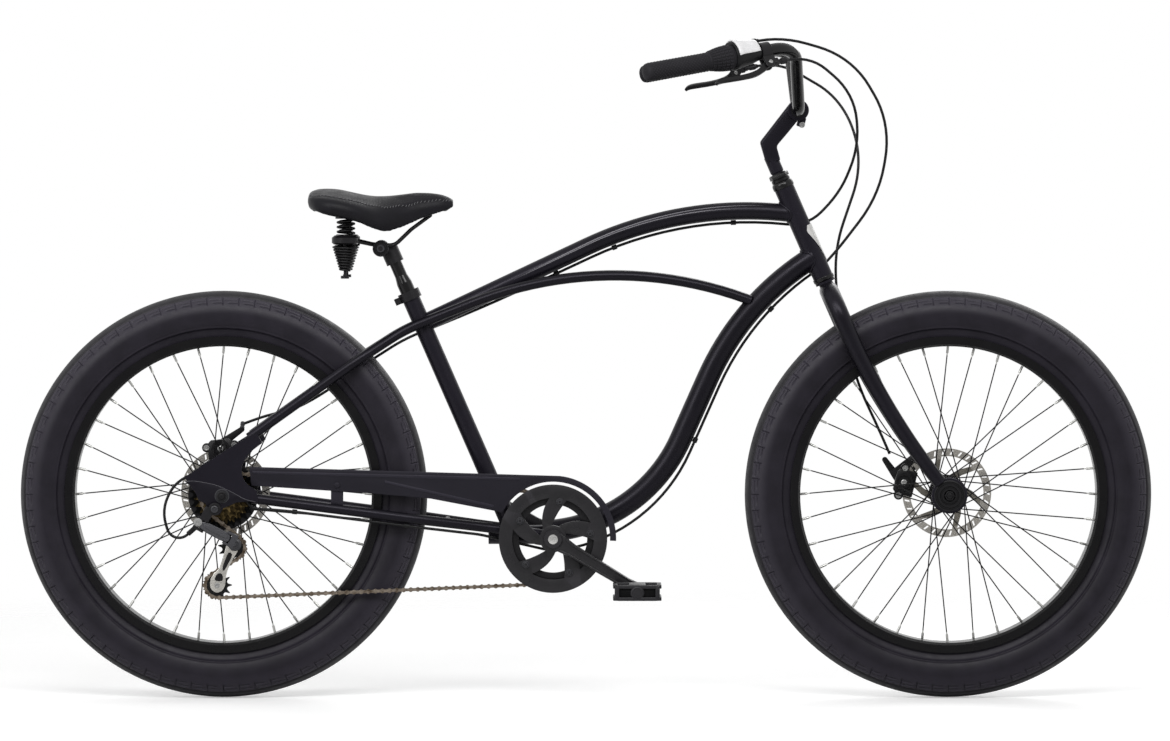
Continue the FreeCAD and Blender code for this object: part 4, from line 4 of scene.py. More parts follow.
import bmesh
import bpy
from mathutils import Matrix, Vector
from mathutils.bvhtree import BVHTree


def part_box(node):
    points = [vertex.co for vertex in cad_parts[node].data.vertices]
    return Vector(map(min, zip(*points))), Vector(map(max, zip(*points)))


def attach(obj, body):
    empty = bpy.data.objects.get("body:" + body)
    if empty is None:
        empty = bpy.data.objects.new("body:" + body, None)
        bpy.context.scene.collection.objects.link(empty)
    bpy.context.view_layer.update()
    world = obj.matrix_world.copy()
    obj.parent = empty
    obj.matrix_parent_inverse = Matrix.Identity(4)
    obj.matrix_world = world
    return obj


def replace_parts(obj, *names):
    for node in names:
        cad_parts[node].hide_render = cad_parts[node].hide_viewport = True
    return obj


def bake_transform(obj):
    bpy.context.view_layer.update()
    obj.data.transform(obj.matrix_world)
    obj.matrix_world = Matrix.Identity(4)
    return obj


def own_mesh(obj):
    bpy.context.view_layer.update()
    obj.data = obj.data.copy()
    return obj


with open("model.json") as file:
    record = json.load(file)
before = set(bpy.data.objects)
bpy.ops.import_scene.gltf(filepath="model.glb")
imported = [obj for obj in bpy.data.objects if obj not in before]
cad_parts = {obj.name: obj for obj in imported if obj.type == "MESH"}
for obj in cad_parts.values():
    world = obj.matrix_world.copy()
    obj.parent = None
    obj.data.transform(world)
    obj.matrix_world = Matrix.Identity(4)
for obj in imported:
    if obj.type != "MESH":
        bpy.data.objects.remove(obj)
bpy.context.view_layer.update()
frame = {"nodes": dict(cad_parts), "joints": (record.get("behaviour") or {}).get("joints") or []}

MM = 0.001
NODES = frame["nodes"]
JOINTS = {joint["name"]: joint for joint in frame["joints"]}


def pivot(joint):
    """Point on a joint's axis."""
    return Vector(JOINTS[joint]["pos_m"])


FRONT_HUB = pivot("front_wheel_spin")
REAR_HUB = pivot("rear_wheel_spin")
WHEELS = (("front", FRONT_HUB), ("rear", REAR_HUB))
BRACKET = pivot("crank_spin")
STEER_UP = Vector(JOINTS["steer"]["axis"]).normalized()
AHEAD, LEFT, UP = Vector((1, 0, 0)), Vector((0, 1, 0)), Vector((0, 0, 1))
SIDE = Vector((0, -1, 0))
SIDES = (("right", -1), ("left", 1))


# finishes

COLOUR_FIRST, COLOUR_SECOND, COLOUR_RESULT = 6, 7, 2


class Nodes:
    """Short ways to build a node tree."""

    def __init__(self, tree):
        self.nodes, self.links = tree.nodes, tree.links

    def add(self, kind, inputs, output=0, **settings):
        """An output of a new node; each input is an output to link or a value to set."""
        node = self.nodes.new(f"ShaderNode{kind}")
        for name, value in settings.items():
            setattr(node, name, value)
        for slot, entry in inputs.items():
            if isinstance(entry, bpy.types.NodeSocket):
                self.links.new(entry, node.inputs[slot])
            else:
                node.inputs[slot].default_value = entry
        return node.outputs[output]

    def math(self, operation, first, second=0.0):
        """Result of one sum; an entry is an output or a number."""
        return self.add("Math", {0: first, 1: second}, operation=operation)

    def spread(self, pattern, low, high, start=0.3, end=0.7, **settings):
        """A pattern spread between two numbers."""
        inputs = {"Value": pattern, "From Min": start, "From Max": end, "To Min": low, "To Max": high}
        return self.add("MapRange", inputs, "Result", **settings)


class Finish(Nodes):
    """One procedural finish: a material, its shader and the patterns that feed it."""

    def __init__(self, name, colour, roughness, metallic=0.0, specular=0.5):
        self.material = bpy.data.materials.new(name)
        self.material.use_nodes = True
        super().__init__(self.material.node_tree)
        self.shader = self.nodes["Principled BSDF"]
        self.put("Base Color", (*colour, 1.0))
        self.put("Roughness", roughness)
        self.put("Metallic", metallic)
        self.put("Specular IOR Level", specular)
        self.spot = self.add("TexCoord", {}, "Object")
        self.height = None

    def put(self, socket, value):
        """Sets one constant on the shader."""
        self.shader.inputs[socket].default_value = value

    def feed(self, socket, output):
        """Feeds one socket of the shader from a pattern."""
        self.links.new(output, self.shader.inputs[socket])

    def stretched(self, scale):
        """Coordinates stretched by a scale along each axis."""
        return self.add("Mapping", {"Scale": scale, "Vector": self.spot})

    def noise(self, scale, detail=3.0, spot=None):
        """Cloudy pattern from 0 to 1."""
        return self.add("TexNoise", {"Scale": scale, "Detail": detail, "Vector": spot or self.spot}, "Fac")

    def cells(self, scale, feature="F1"):
        """Distance pattern of a cell texture."""
        return self.add("TexVoronoi", {"Scale": scale, "Vector": self.spot}, "Distance", feature=feature)

    def tint(self, pattern, dark, light, start=0.3, end=0.7):
        """Colours the finish from dark to light along a pattern."""
        ramp = self.nodes.new("ShaderNodeValToRGB")
        for stop, colour, place in zip(ramp.color_ramp.elements, (dark, light), (start, end)):
            stop.color = (*colour, 1.0)
            stop.position = place
        self.links.new(pattern, ramp.inputs["Fac"])
        self.feed("Base Color", ramp.outputs["Color"])
        return ramp.outputs["Color"]

    def mix(self, mask, first, second):
        """Colour between two, each a colour output or a plain colour."""
        first, second = ((*entry, 1.0) if isinstance(entry, tuple) else entry for entry in (first, second))
        inputs = {"Factor": mask, COLOUR_FIRST: first, COLOUR_SECOND: second}
        return self.add("Mix", inputs, COLOUR_RESULT, data_type="RGBA")

    def bump(self, pattern, depth, strength=1.0):
        """Relief of a real depth in metres, added to what is there."""
        inputs = {"Strength": strength, "Distance": depth, "Height": pattern}
        if self.height is not None:
            inputs["Normal"] = self.height
        self.height = self.add("Bump", inputs, "Normal")
        self.feed("Normal", self.height)

    def part(self, axis_name, spot=None):
        """One coordinate of the place."""
        return self.add("SeparateXYZ", {0: spot or self.spot}, axis_name)

    def radius(self, hub):
        """Distance from a wheel's axle, which runs across the bicycle."""
        across = self.math("SUBTRACT", self.part("X"), hub.x)
        up = self.math("SUBTRACT", self.part("Z"), hub.z)
        total = self.math("ADD", self.math("POWER", across, 2.0), self.math("POWER", up, 2.0))
        return self.math("SQRT", total)

    def combined(self, value):
        """A place whose three coordinates are one value."""
        return self.add("CombineXYZ", {0: value, 1: value, 2: value})

    def edges(self, low=0.52, high=0.6):
        """Mask of convex edges: wear on paint, painted highlight on rubber."""
        return self.spread(self.add("NewGeometry", {}, "Pointiness"), 0.0, 1.0, low, high)


def shade(colour, factor):
    """A colour made lighter or darker."""
    return tuple(part * factor for part in colour)


def paint(name, colour, roughness=0.38, specular=0.13, wear=2.0, sheen=(1.0, 1.0, 1.0)):
    """Sprayed satin coat: faint clouding, fine orange peel and slightly polished edges."""
    finish = Finish(name, colour, roughness, specular=specular)
    finish.put("Specular Tint", (*sheen, 1.0))
    cloud = finish.noise(7.0, 4.0)
    base = finish.tint(cloud, shade(colour, 0.85), shade(colour, 1.2))
    finish.feed("Base Color", finish.mix(finish.edges(), base, shade(colour, wear)))
    finish.feed("Roughness", finish.spread(finish.noise(26.0, 5.0), roughness - 0.05, roughness + 0.06))
    finish.bump(finish.noise(900.0, 2.0), 0.00003, 0.5)
    return finish


def rubber(name, colour, roughness=0.62, specular=0.16):
    """Moulded rubber: fine grain, a dull, slightly dusty bloom, and convex edges and raised dots painted
    lighter as a painted highlight.
    """
    finish = Finish(name, colour, roughness, specular=specular)
    base = finish.tint(finish.noise(18.0, 6.0), shade(colour, 0.75), shade(colour, 1.35))
    # Convex edges and raised dots painted lighter: painted highlight.
    finish.feed("Base Color", finish.mix(finish.edges(0.5, 0.56), base, shade(colour, 2.4)))
    finish.feed("Roughness", finish.spread(finish.noise(60.0, 4.0), roughness - 0.07, roughness + 0.08))
    finish.bump(finish.noise(1400.0, 3.0), 0.00005, 0.6)
    return finish


def plastic(name, colour, roughness=0.48, specular=0.2):
    """Moulded plastic with a pebbled skin."""
    finish = Finish(name, colour, roughness, specular=specular)
    finish.tint(finish.noise(40.0, 3.0), shade(colour, 0.85), shade(colour, 1.2))
    finish.feed("Roughness", finish.spread(finish.noise(90.0, 3.0), roughness - 0.06, roughness + 0.06))
    finish.bump(finish.cells(1600.0), 0.00004, 0.5)
    return finish


def metal(name, colour, roughness=0.3, grain=(40.0, 40.0, 900.0)):
    """Bare metal with the fine lines of its finishing and a little tarnish."""
    finish = Finish(name, colour, roughness, metallic=1.0)
    lines = finish.noise(1.0, 4.0, finish.stretched(grain))
    finish.tint(finish.noise(35.0, 5.0), shade(colour, 0.8), shade(colour, 1.1))
    finish.feed("Roughness", finish.spread(lines, roughness - 0.07, roughness + 0.1))
    finish.bump(lines, 0.00002, 0.4)
    return finish


INK = (0.0036, 0.0032, 0.005)
BLUE_SHEEN = (0.9, 0.86, 1.0)
COAL = (0.005, 0.0047, 0.0055)
SILVER = (0.62, 0.615, 0.6)

frame_paint = paint("satin_frame_paint", INK, 0.32, 0.19, 2.0, BLUE_SHEEN)
# The fork and stem take the frame paint made 1.3 times lighter: painted light.
lighter_fork_paint = paint("satin_fork_paint", shade(INK, 1.3), 0.32, 0.2, 2.0, BLUE_SHEEN)
guard_paint = paint("chain_guard_paint", (0.011, 0.0103, 0.014), 0.42, 0.2, 2.6, BLUE_SHEEN)
gloss_black = paint("gloss_black_coat", shade(COAL, 0.6), 0.16, 0.3, 1.3)
black_coat = paint("black_coat", COAL, 0.34, 0.22)
grey_coat = paint("grey_coat", (0.022, 0.022, 0.025), 0.34, 0.34)
crank_coat = paint("black_crank_coat", shade(COAL, 1.6), 0.3, 0.34, 3.0)
spring_coat = paint("black_spring_coat", shade(COAL, 0.7), 0.3, 0.2)
grip_rubber = rubber("grip_rubber", (0.012, 0.0115, 0.0135), 0.62, 0.14)
housing_plastic = plastic("cable_housing_plastic", (0.005, 0.005, 0.0056), 0.34, 0.2)
black_plastic = plastic("black_moulded_plastic", (0.006, 0.006, 0.0066), 0.46, 0.18)
pale_plastic = plastic("pale_cover_plastic", (0.74, 0.735, 0.745), 0.26, 0.5)
bright_steel = metal("bright_steel", SILVER, 0.26)
bolt_steel = metal("bolt_steel", (0.4, 0.4, 0.395), 0.3)


def oiled_chain():
    """Chain steel browned by oil and road dust."""
    colour = (0.2, 0.165, 0.13)
    finish = metal("oiled_chain_steel", colour, 0.38)
    film = finish.noise(120.0, 6.0)
    finish.tint(film, (0.07, 0.052, 0.036), (0.3, 0.255, 0.21), 0.35, 0.68)
    finish.feed("Roughness", finish.spread(film, 0.6, 0.3))
    return finish


COG_START, COG_PAIR = 0.0935, 0.01
LARGEST_COG = (-0.0437, -0.0433)


def brown_cogs():
    """Cogs with a mottled brown plating; every other cog across the stack is painted darker as painted shade
    between neighbours, and the largest cog is near black.
    """
    finish = metal("brown_cog_plating", (0.09, 0.065, 0.03), 0.42)
    base = finish.tint(finish.noise(160.0, 6.0), (0.022, 0.015, 0.006), (0.15, 0.108, 0.046), 0.38, 0.66)
    across = finish.part("Y")
    # Every other cog is painted darker: painted shade between the stacked cogs.
    pairs = finish.math("DIVIDE", finish.math("ADD", across, COG_START), COG_PAIR)
    alternate_cog_shade = finish.spread(finish.math("FRACT", pairs), 0.0, 0.72, 0.48, 0.52)
    shaded_cogs = finish.mix(alternate_cog_shade, base, (0.012, 0.009, 0.005))
    largest = finish.spread(across, 0.0, 1.0, *LARGEST_COG)
    finish.feed("Base Color", finish.mix(largest, shaded_cogs, (0.006, 0.006, 0.006)))
    return finish


BRAKING_BAND = (0.061, 0.063)


def rotor_steel(name, hub):
    """Ground stainless disc with fine rings round the axle and a brighter braking band."""
    finish = Finish(name, SILVER, 0.3, metallic=1.0)
    radius = finish.radius(hub)
    rings = finish.noise(2400.0, 2.0, finish.combined(radius))
    band = finish.spread(radius, 0.0, 1.0, *BRAKING_BAND)
    finish.tint(band, (0.24, 0.225, 0.195), (0.44, 0.42, 0.385), 0.2, 0.8)
    finish.feed("Roughness", finish.spread(rings, 0.22, 0.42))
    finish.bump(rings, 0.00002, 0.4)
    return finish


RIM_HIGHLIGHT_EDGE = (0.2506, 0.252)
NIPPLE_EDGE = (0.2485, 0.2489)


def rim_coat(name, hub):
    """Black rim coat with a painted highlight along its inner edge."""
    colour = shade(COAL, 0.8)
    finish = paint(name, colour, 0.28, 0.16)
    # The inner edge of the rim is painted grey: painted highlight.
    edge = finish.spread(finish.radius(hub), 1.0, 0.0, *RIM_HIGHLIGHT_EDGE)
    cloud = finish.tint(finish.noise(7.0, 4.0), shade(colour, 0.85), shade(colour, 1.2))
    finish.feed("Base Color", finish.mix(edge, cloud, (0.42, 0.42, 0.43)))
    return finish


def spoke_coat(name, hub):
    """Black spokes with plated nipples at the rim."""
    finish = Finish(name, COAL, 0.3, specular=0.14)
    nipple = finish.spread(finish.radius(hub), 0.0, 1.0, *NIPPLE_EDGE)
    cloud = finish.tint(finish.noise(50.0, 4.0), shade(COAL, 0.8), shade(COAL, 1.4))
    finish.feed("Base Color", finish.mix(nipple, cloud, (0.5, 0.5, 0.48)))
    finish.feed("Metallic", nipple)
    finish.bump(finish.noise(700.0, 2.0), 0.00003, 0.4)
    return finish


def dress(finish, *names):
    """Gives a finish to CAD nodes."""
    for name in names:
        slots = NODES[name].data.materials
        slots.clear()
        slots.append(finish.material)


dress(frame_paint, "head_tube", "top_tube", "down_tube", "seat_tube", "bottom_bracket_shell",
      "rear_stays", "dropouts")
dress(lighter_fork_paint, "fork")
dress(gloss_black, "handlebar", "seat_post")
dress(black_coat, "seat_clamp", "front_hub", "rear_hub", "saddle_rails")
dress(grip_rubber, "front_inner_tube", "rear_inner_tube")
dress(black_plastic, "guide_pulley", "tension_pulley", "saddle_base", "cable_clips")
dress(housing_plastic, "front_brake_cable")
dress(oiled_chain(), "chain")
dress(brown_cogs(), "freewheel_cogs")
for wheel_name, wheel_hub in WHEELS:
    dress(rim_coat(f"{wheel_name}_rim_coat", wheel_hub), f"{wheel_name}_rim")
    dress(rotor_steel(f"{wheel_name}_rotor_steel", wheel_hub), f"{wheel_name}_rotor")
    dress(spoke_coat(f"{wheel_name}_spoke_coat", wheel_hub), f"{wheel_name}_spokes")


# pieces

def piece(name, mesh, body, finish):
    """A finished piece of the bicycle that rides on a body."""
    thing = bpy.data.objects.new(name, mesh)
    bpy.context.scene.collection.objects.link(thing)
    mesh.materials.clear()
    mesh.materials.append(finish.material)
    mesh.shade_smooth()
    if body:
        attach(thing, body)
    return thing


def mesh_of(name, vertices, faces):
    """Mesh from points and faces."""
    mesh = bpy.data.meshes.new(name)
    mesh.from_pydata(vertices, [], faces)
    mesh.update()
    return mesh


def directions_round(way, count):
    """Directions square to a way, evenly round it."""
    first = way.orthogonal().normalized()
    second = way.cross(first)
    angles = [2 * math.pi * number / count for number in range(count)]
    return [first * math.cos(angle) + second * math.sin(angle) for angle in angles]


def grid_faces(rows, around, loop=False):
    """Faces between rows of points; a loop joins the last row to the first, and other ends are closed."""
    faces = []
    for row in range(rows if loop else rows - 1):
        below = (row + 1) % rows
        for number in range(around):
            after = (number + 1) % around
            faces.append((row * around + number, row * around + after,
                          below * around + after, below * around + number))
    if not loop:
        last = (rows - 1) * around
        faces += [tuple(reversed(range(around))), tuple(range(last, last + around))]
    return faces


def opened(mesh, merge):
    """Work mesh of a mesh, with the corners that coincide made one."""
    work = bmesh.new()
    work.from_mesh(mesh)
    bmesh.ops.remove_doubles(work, verts=work.verts, dist=merge)
    return work


def saved(work, mesh):
    """A mesh that takes the shape of a work mesh."""
    work.to_mesh(mesh)
    work.free()
    return mesh


def join_rows(work, rows):
    """Adds the faces between closed rows of corners."""
    for first, second in zip(rows, rows[1:]):
        for number in range(len(first)):
            after = (number + 1) % len(first)
            work.faces.new((first[number], first[after], second[after], second[number]))


def sharp_edges(thing, angle=35.0):
    """Keeps the edges of a smooth piece crisp."""
    thing.data.set_sharp_from_angle(angle=math.radians(angle))


# tyres

CROWN = 44 * MM
CROWN_CENTRE = 321 * MM
WALL = 5 * MM
STEP = 1.5 * MM
BLOCKS = 76
GROOVE = (36.5, 41.0)
SLIT_END = 62.5
DASHES = ((49.0, 50.9, 0.13, 0.88), (57.6, 59.5, 0.06, 0.6))
SLIT_HALF = 0.026
SHOULDER = (66.0, 104.0)
LIP = (0.2849, 0.0298)
BEAD = ((0.2802, 0.0298), (0.2802, 0.0215))
EASE = 0.35
EASE_ROUND = 0.012
RIB_ANGLES = (118.0, 121.5)
RIB_HEIGHT = 0.7 * MM
GROOVE_DEPTH, SLIT_DEPTH, DASH_DEPTH = 2.2 * MM, 2.0 * MM, 1.8 * MM
PLAIN_ANGLES = (0.0, 7.0, 14.0, 21.0, 28.0, 33.0, 45.0, 54.0, 66.0, 71.0, 76.0, 81.0, 87.0, 93.0, 99.0,
                104.0, 110.0, 114.5, 128.0)
INNER_ANGLES = range(-138, 139, 23)
# Radii where the tread band begins (painted highlight and more gloss) and where the crown begins (painted
# shade).
TREAD_EDGE, SHADED_CROWN_EDGE = (0.325, 0.35), (0.3535, 0.3555)


def tread_depth(angle, share):
    """How far the tread is cut in at an angle from the crown and a share of a block."""
    from_crown = abs(angle)
    if GROOVE[0] < from_crown < GROOVE[1]:
        return GROOVE_DEPTH
    if GROOVE[1] <= from_crown < SLIT_END and (share < SLIT_HALF or share > 1 - SLIT_HALF):
        return SLIT_DEPTH
    for low, high, start, end in DASHES:
        if low < from_crown < high and start < share < end:
            return DASH_DEPTH
    if from_crown > SHOULDER[0]:
        share = min(1.0, (from_crown - SHOULDER[0]) / (SHOULDER[1] - SHOULDER[0]))
        rib = RIB_ANGLES[0] < from_crown < RIB_ANGLES[1]
        return STEP * share * share * (3 - 2 * share) - (RIB_HEIGHT if rib else 0.0)
    return 0.0


def section_angles():
    """Angles from the crown to the rim, close together beside each cut."""
    edges = [*GROOVE, SLIT_END, *RIB_ANGLES]
    for low, high, _, _ in DASHES:
        edges += [low, high]
    angles = set(PLAIN_ANGLES)
    for edge in edges:
        angles |= {edge - EASE, edge + EASE}
    half = sorted(angles)
    return [-angle for angle in reversed(half[1:])] + half


def block_shares():
    """Places along one block, close together beside each cut."""
    edges = [SLIT_HALF, 1 - SLIT_HALF]
    for _, _, start, end in DASHES:
        edges += [start, end]
    shares = {0.35, 0.74}
    for edge in edges:
        shares |= {edge - EASE_ROUND, edge + EASE_ROUND}
    return sorted(shares)


def tyre(name, hub, body, node):
    """Balloon tyre with a smooth crown, two grooves and cut shoulder blocks."""
    angles = section_angles()
    inner = [math.radians(angle) for angle in INNER_ANGLES]
    rows = [(block + share) / BLOCKS for block in range(BLOCKS) for share in block_shares()]
    shares = block_shares() * BLOCKS
    vertices = []
    for turn, share in zip(rows, shares):
        around = 2 * math.pi * turn
        out = Vector((math.cos(around), 0, math.sin(around)))
        section = [(BEAD[1][0], -BEAD[1][1]), (BEAD[0][0], -BEAD[0][1]), (LIP[0], -LIP[1])]
        for angle in angles:
            size = CROWN - tread_depth(angle, share)
            bent = math.radians(angle)
            section.append((CROWN_CENTRE + size * math.cos(bent), size * math.sin(bent)))
        section += [LIP, *BEAD]
        for bent in reversed(inner):
            size = CROWN - WALL
            section.append((CROWN_CENTRE + size * math.cos(bent), size * math.sin(bent)))
        vertices += [hub + out * radius + Vector((0, offset, 0)) for radius, offset in section]
    count = len(vertices) // len(rows)
    faces = []
    for row in range(len(rows)):
        after = (row + 1) % len(rows)
        for spot in range(count):
            beside = (spot + 1) % count
            faces.append((row * count + spot, after * count + spot,
                          after * count + beside, row * count + beside))
    mesh = mesh_of(name, vertices, faces)
    thing = piece(name, mesh, body, tyre_rubber(f"{name}_rubber", hub))
    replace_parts(thing, node)


def tyre_rubber(name, hub):
    """Tyre rubber: the crown darkened as painted shade, the shoulders lightened as a painted highlight, and a
    smooth side wall with faint mould rings.
    """
    colour = (0.0148, 0.013, 0.0184)
    finish = Finish(name, colour, 0.46, specular=0.1)
    radius = finish.radius(hub)
    tread = finish.spread(radius, 0.0, 1.0, *TREAD_EDGE)
    crown = finish.spread(radius, 0.0, 1.0, *SHADED_CROWN_EDGE)
    wall = finish.tint(finish.noise(22.0, 6.0), shade(colour, 0.8), shade(colour, 1.3))
    # Painted highlight: the tread band at twice the colour; painted shade: the crown at half of it.
    shoulder_highlight = finish.mix(tread, wall, shade(colour, 2.0))
    finish.feed("Base Color", finish.mix(crown, shoulder_highlight, shade(colour, 0.5)))
    finish.feed("Specular IOR Level", finish.spread(tread, 0.14, 0.3, 0.0, 1.0))
    grain = finish.spread(finish.noise(75.0, 5.0), -0.05, 0.07)
    finish.feed("Roughness", finish.math("ADD", finish.spread(tread, 0.4, 0.52, 0.0, 1.0), grain))
    finish.bump(finish.noise(420.0, 2.0, finish.combined(radius)), 0.00006, 0.35)
    finish.bump(finish.noise(1500.0, 3.0), 0.00005, 0.5)
    return finish


for wheel_name, wheel_hub in WHEELS:
    tyre(f"{wheel_name}_tread", wheel_hub, f"{wheel_name}_wheel", f"{wheel_name}_tyre")


# cables between bars and frame

LOOP_STEP = 9 * MM
LOOP_FROM = 0.2
MERGE = 1e-6


def copied(node, name):
    """A mesh of its own with a node's shape."""
    mesh = NODES[node].data.copy()
    mesh.name = name
    return mesh


def control_cables():
    """Rear brake and gear cables from the frame below the head tube to the bars above it; their long forward
    edges are cut short, and the run rides on no body.
    """
    mesh = copied("control_cables", "control_cable_runs")
    work = opened(mesh, MERGE)
    for _ in range(6):
        long = [edge for edge in work.edges if edge.calc_length() > LOOP_STEP
                and min(end.co.x for end in edge.verts) > LOOP_FROM]
        if not long:
            break
        bmesh.ops.subdivide_edges(work, edges=long, cuts=1, use_grid_fill=False)
    bmesh.ops.triangulate(work, faces=work.faces)
    saved(work, mesh)
    runs = piece("control_cable_runs", mesh, None, housing_plastic)
    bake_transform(runs)
    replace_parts(runs, "control_cables")


control_cables()


# saddle

SADDLE_POINT = Vector((-0.3516, 0, 0.8021))
STATIONS = ((-147, 0.58, 103, 84), (-128, 0.88, 110, 68), (-85, 1.0, 106, 57), (-43, 0.88, 97, 45),
            (-14, 0.68, 95, 34), (20, 0.46, 98, 40), (60, 0.30, 103, 57), (95, 0.22, 101, 69),
            (115, 0.12, 92, 77))
HALF_WIDTH = 116 * MM
PAN_DEPTH = 25 * MM
PAN_WALL = 7 * MM
CUSHION_VOXEL = 3 * MM
SWELL = 2.2 * MM
FILL_FRAMES = 20
FILL_PRESSURE = 4.0
HOLE_SPACING = 0.0052


def station(ahead, column):
    """A saddle measure between stations: 1 half width share, 2 top, 3 skirt."""
    rows = STATIONS
    ahead = min(max(ahead / MM, rows[0][0]), rows[-1][0])
    for low, high in zip(rows, rows[1:]):
        if ahead <= high[0]:
            share = (ahead - low[0]) / (high[0] - low[0])
            eased = share * share * (3 - 2 * share) * 0.5 + share * 0.5
            return low[column] + (high[column] - low[column]) * eased
    return rows[-1][column]


def half_width(ahead):
    """Half the saddle's width at a place."""
    return station(ahead, 1) * HALF_WIDTH


def in_hollow(place):
    """Whether a point of the cushion faces the pan below it."""
    ahead = place.x - SADDLE_POINT.x
    roof = SADDLE_POINT.z + station(ahead, 2) * MM - PAN_DEPTH + 2.5 * MM
    inner = half_width(ahead) * 0.9 - PAN_WALL + 2.6 * MM
    return place.z < roof and abs(place.y) < inner


def saddle_vinyl(name):
    """Grained vinyl; the top panel has rows of small holes, cut in by bump and painted dark inside as painted
    shade.
    """
    colour = (0.0056, 0.0052, 0.0074)
    finish = Finish(name, colour, 0.42, specular=0.16)
    cloud = finish.tint(finish.noise(30.0, 5.0), shade(colour, 0.8), shade(colour, 1.35))
    spacing = 1 / HOLE_SPACING
    rows = finish.add("VectorMath", {0: finish.stretched((spacing, spacing, 0.0))}, operation="FRACTION")
    away = finish.add("VectorMath", {0: rows, 1: (0.5, 0.5, 0.0)}, "Value", operation="DISTANCE")
    hole = finish.spread(away, 1.0, 0.0, 0.16, 0.24)
    facing = finish.add("NewGeometry", {}, "Normal")
    upward = finish.spread(finish.part("Z", facing), 0.0, 1.0, 0.72, 0.82)
    hole_cut_and_shade = finish.math("MULTIPLY", hole, upward)
    # The holes are painted near black: painted shade inside them.
    finish.feed("Base Color", finish.mix(hole_cut_and_shade, cloud, shade(colour, 0.2)))
    finish.feed("Roughness", finish.spread(finish.noise(55.0, 4.0), 0.36, 0.5))
    finish.bump(finish.cells(520.0, "DISTANCE_TO_EDGE"), 0.00012, 0.35)
    finish.bump(finish.noise(260.0, 4.0), 0.0001, 0.3)
    finish.bump(finish.math("SUBTRACT", 1.0, hole_cut_and_shade), 0.0006, 0.8)
    return finish


def swollen(mesh):
    """The cushion filled out by a short cloth simulation, with its under side held by the pan."""
    pad = bpy.data.objects.new("cushion_work", mesh)
    bpy.context.scene.collection.objects.link(pad)
    bpy.context.view_layer.objects.active = pad
    remesh = pad.modifiers.new("even", "REMESH")
    remesh.mode = "VOXEL"
    remesh.voxel_size = CUSHION_VOXEL
    bpy.ops.object.modifier_apply(modifier="even")
    mesh = pad.data
    rest = [corner.co.copy() for corner in mesh.vertices]
    held = pad.vertex_groups.new(name="held")
    for corner in mesh.vertices:
        if in_hollow(corner.co):
            held.add([corner.index], 1.0, "REPLACE")
        else:
            corner.co -= corner.normal * SWELL
    cloth = pad.modifiers.new("fill", "CLOTH")
    cloth.settings.use_pressure = True
    cloth.settings.uniform_pressure_force = FILL_PRESSURE
    cloth.settings.effector_weights.gravity = 0.0
    cloth.settings.vertex_group_mass = "held"
    cloth.settings.tension_stiffness = 20.0
    cloth.settings.bending_stiffness = 4.0
    cloth.point_cache.frame_start = 1
    cloth.point_cache.frame_end = FILL_FRAMES
    for number in range(1, FILL_FRAMES + 1):
        bpy.context.scene.frame_set(number)
    bpy.ops.object.modifier_apply(modifier="fill")
    limit = SWELL * 1.25
    for corner, start in zip(pad.data.vertices, rest):
        moved = corner.co - start
        if moved.length > limit:
            corner.co = start + moved * (limit / moved.length)
    bpy.context.scene.frame_set(1)
    smooth = pad.modifiers.new("settle", "SMOOTH")
    smooth.factor = 0.5
    smooth.iterations = 10
    finer = pad.modifiers.new("finer", "SUBSURF")
    finer.levels = finer.render_levels = 1
    bpy.ops.object.modifier_apply(modifier="settle")
    bpy.ops.object.modifier_apply(modifier="finer")
    mesh = pad.data
    bpy.data.objects.remove(pad)
    return mesh


cushion_mesh = swollen(copied("saddle_cover", "saddle_cushion"))
vinyl = saddle_vinyl("saddle_vinyl")
cushion = piece("saddle_cushion", cushion_mesh, "saddle", vinyl)
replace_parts(cushion, "saddle_cover")


def tree_of(mesh):
    """Search tree of a mesh, for rays."""
    return BVHTree.FromPolygons([corner.co for corner in mesh.vertices],
                                [tuple(face.vertices) for face in mesh.polygons])


cushion_tree = tree_of(cushion_mesh)
RAY_HEIGHT = 0.15


def on_cushion(ahead, across):
    """Point of the cushion's upper surface and its normal."""
    above = SADDLE_POINT + Vector((ahead, across, RAY_HEIGHT))
    place, normal, _, _ = cushion_tree.ray_cast(above, Vector((0, 0, -1)))
    return place, normal


SEAM_SHARE = 0.8
SEAM_BACK, SEAM_LENGTH, SEAM_STEPS = -141, 249, 150
STITCH_STEP = 5.4 * MM
STITCH_LENGTH, STITCH_RADIUS, STITCH_LEAN = 6.4 * MM, 0.85 * MM, 0.9
CORD_ROUND = 2


def seam_line(side):
    """Places along the seam between top panel and side panel, from the back to the nose."""
    places = []
    for number in range(SEAM_STEPS + 1):
        ahead = (SEAM_BACK + SEAM_LENGTH * number / SEAM_STEPS) * MM
        found = on_cushion(ahead, side * half_width(ahead) * SEAM_SHARE)
        if found[0] is not None:
            places.append(found)
    return places


def cord_mesh(name, places, radius, ripple=0.0):
    """Round cord through a row of places; a rippled one is closed."""
    curve = bpy.data.curves.new(name, "CURVE")
    curve.dimensions = "3D"
    curve.bevel_depth = radius
    curve.bevel_resolution = CORD_ROUND
    curve.use_fill_caps = True
    spline = curve.splines.new("POLY")
    spline.points.add(len(places) - 1)
    spline.use_cyclic_u = ripple > 0
    for number, (point, place) in enumerate(zip(spline.points, places)):
        point.co = (*place, 1.0)
        point.radius = 1 + ripple * (1 if number % 2 else -1)
    holder = bpy.data.objects.new(f"{name}_curve", curve)
    mesh = bpy.data.meshes.new_from_object(holder)
    mesh.name = name
    bpy.data.objects.remove(holder)
    bpy.data.curves.remove(curve)
    return mesh


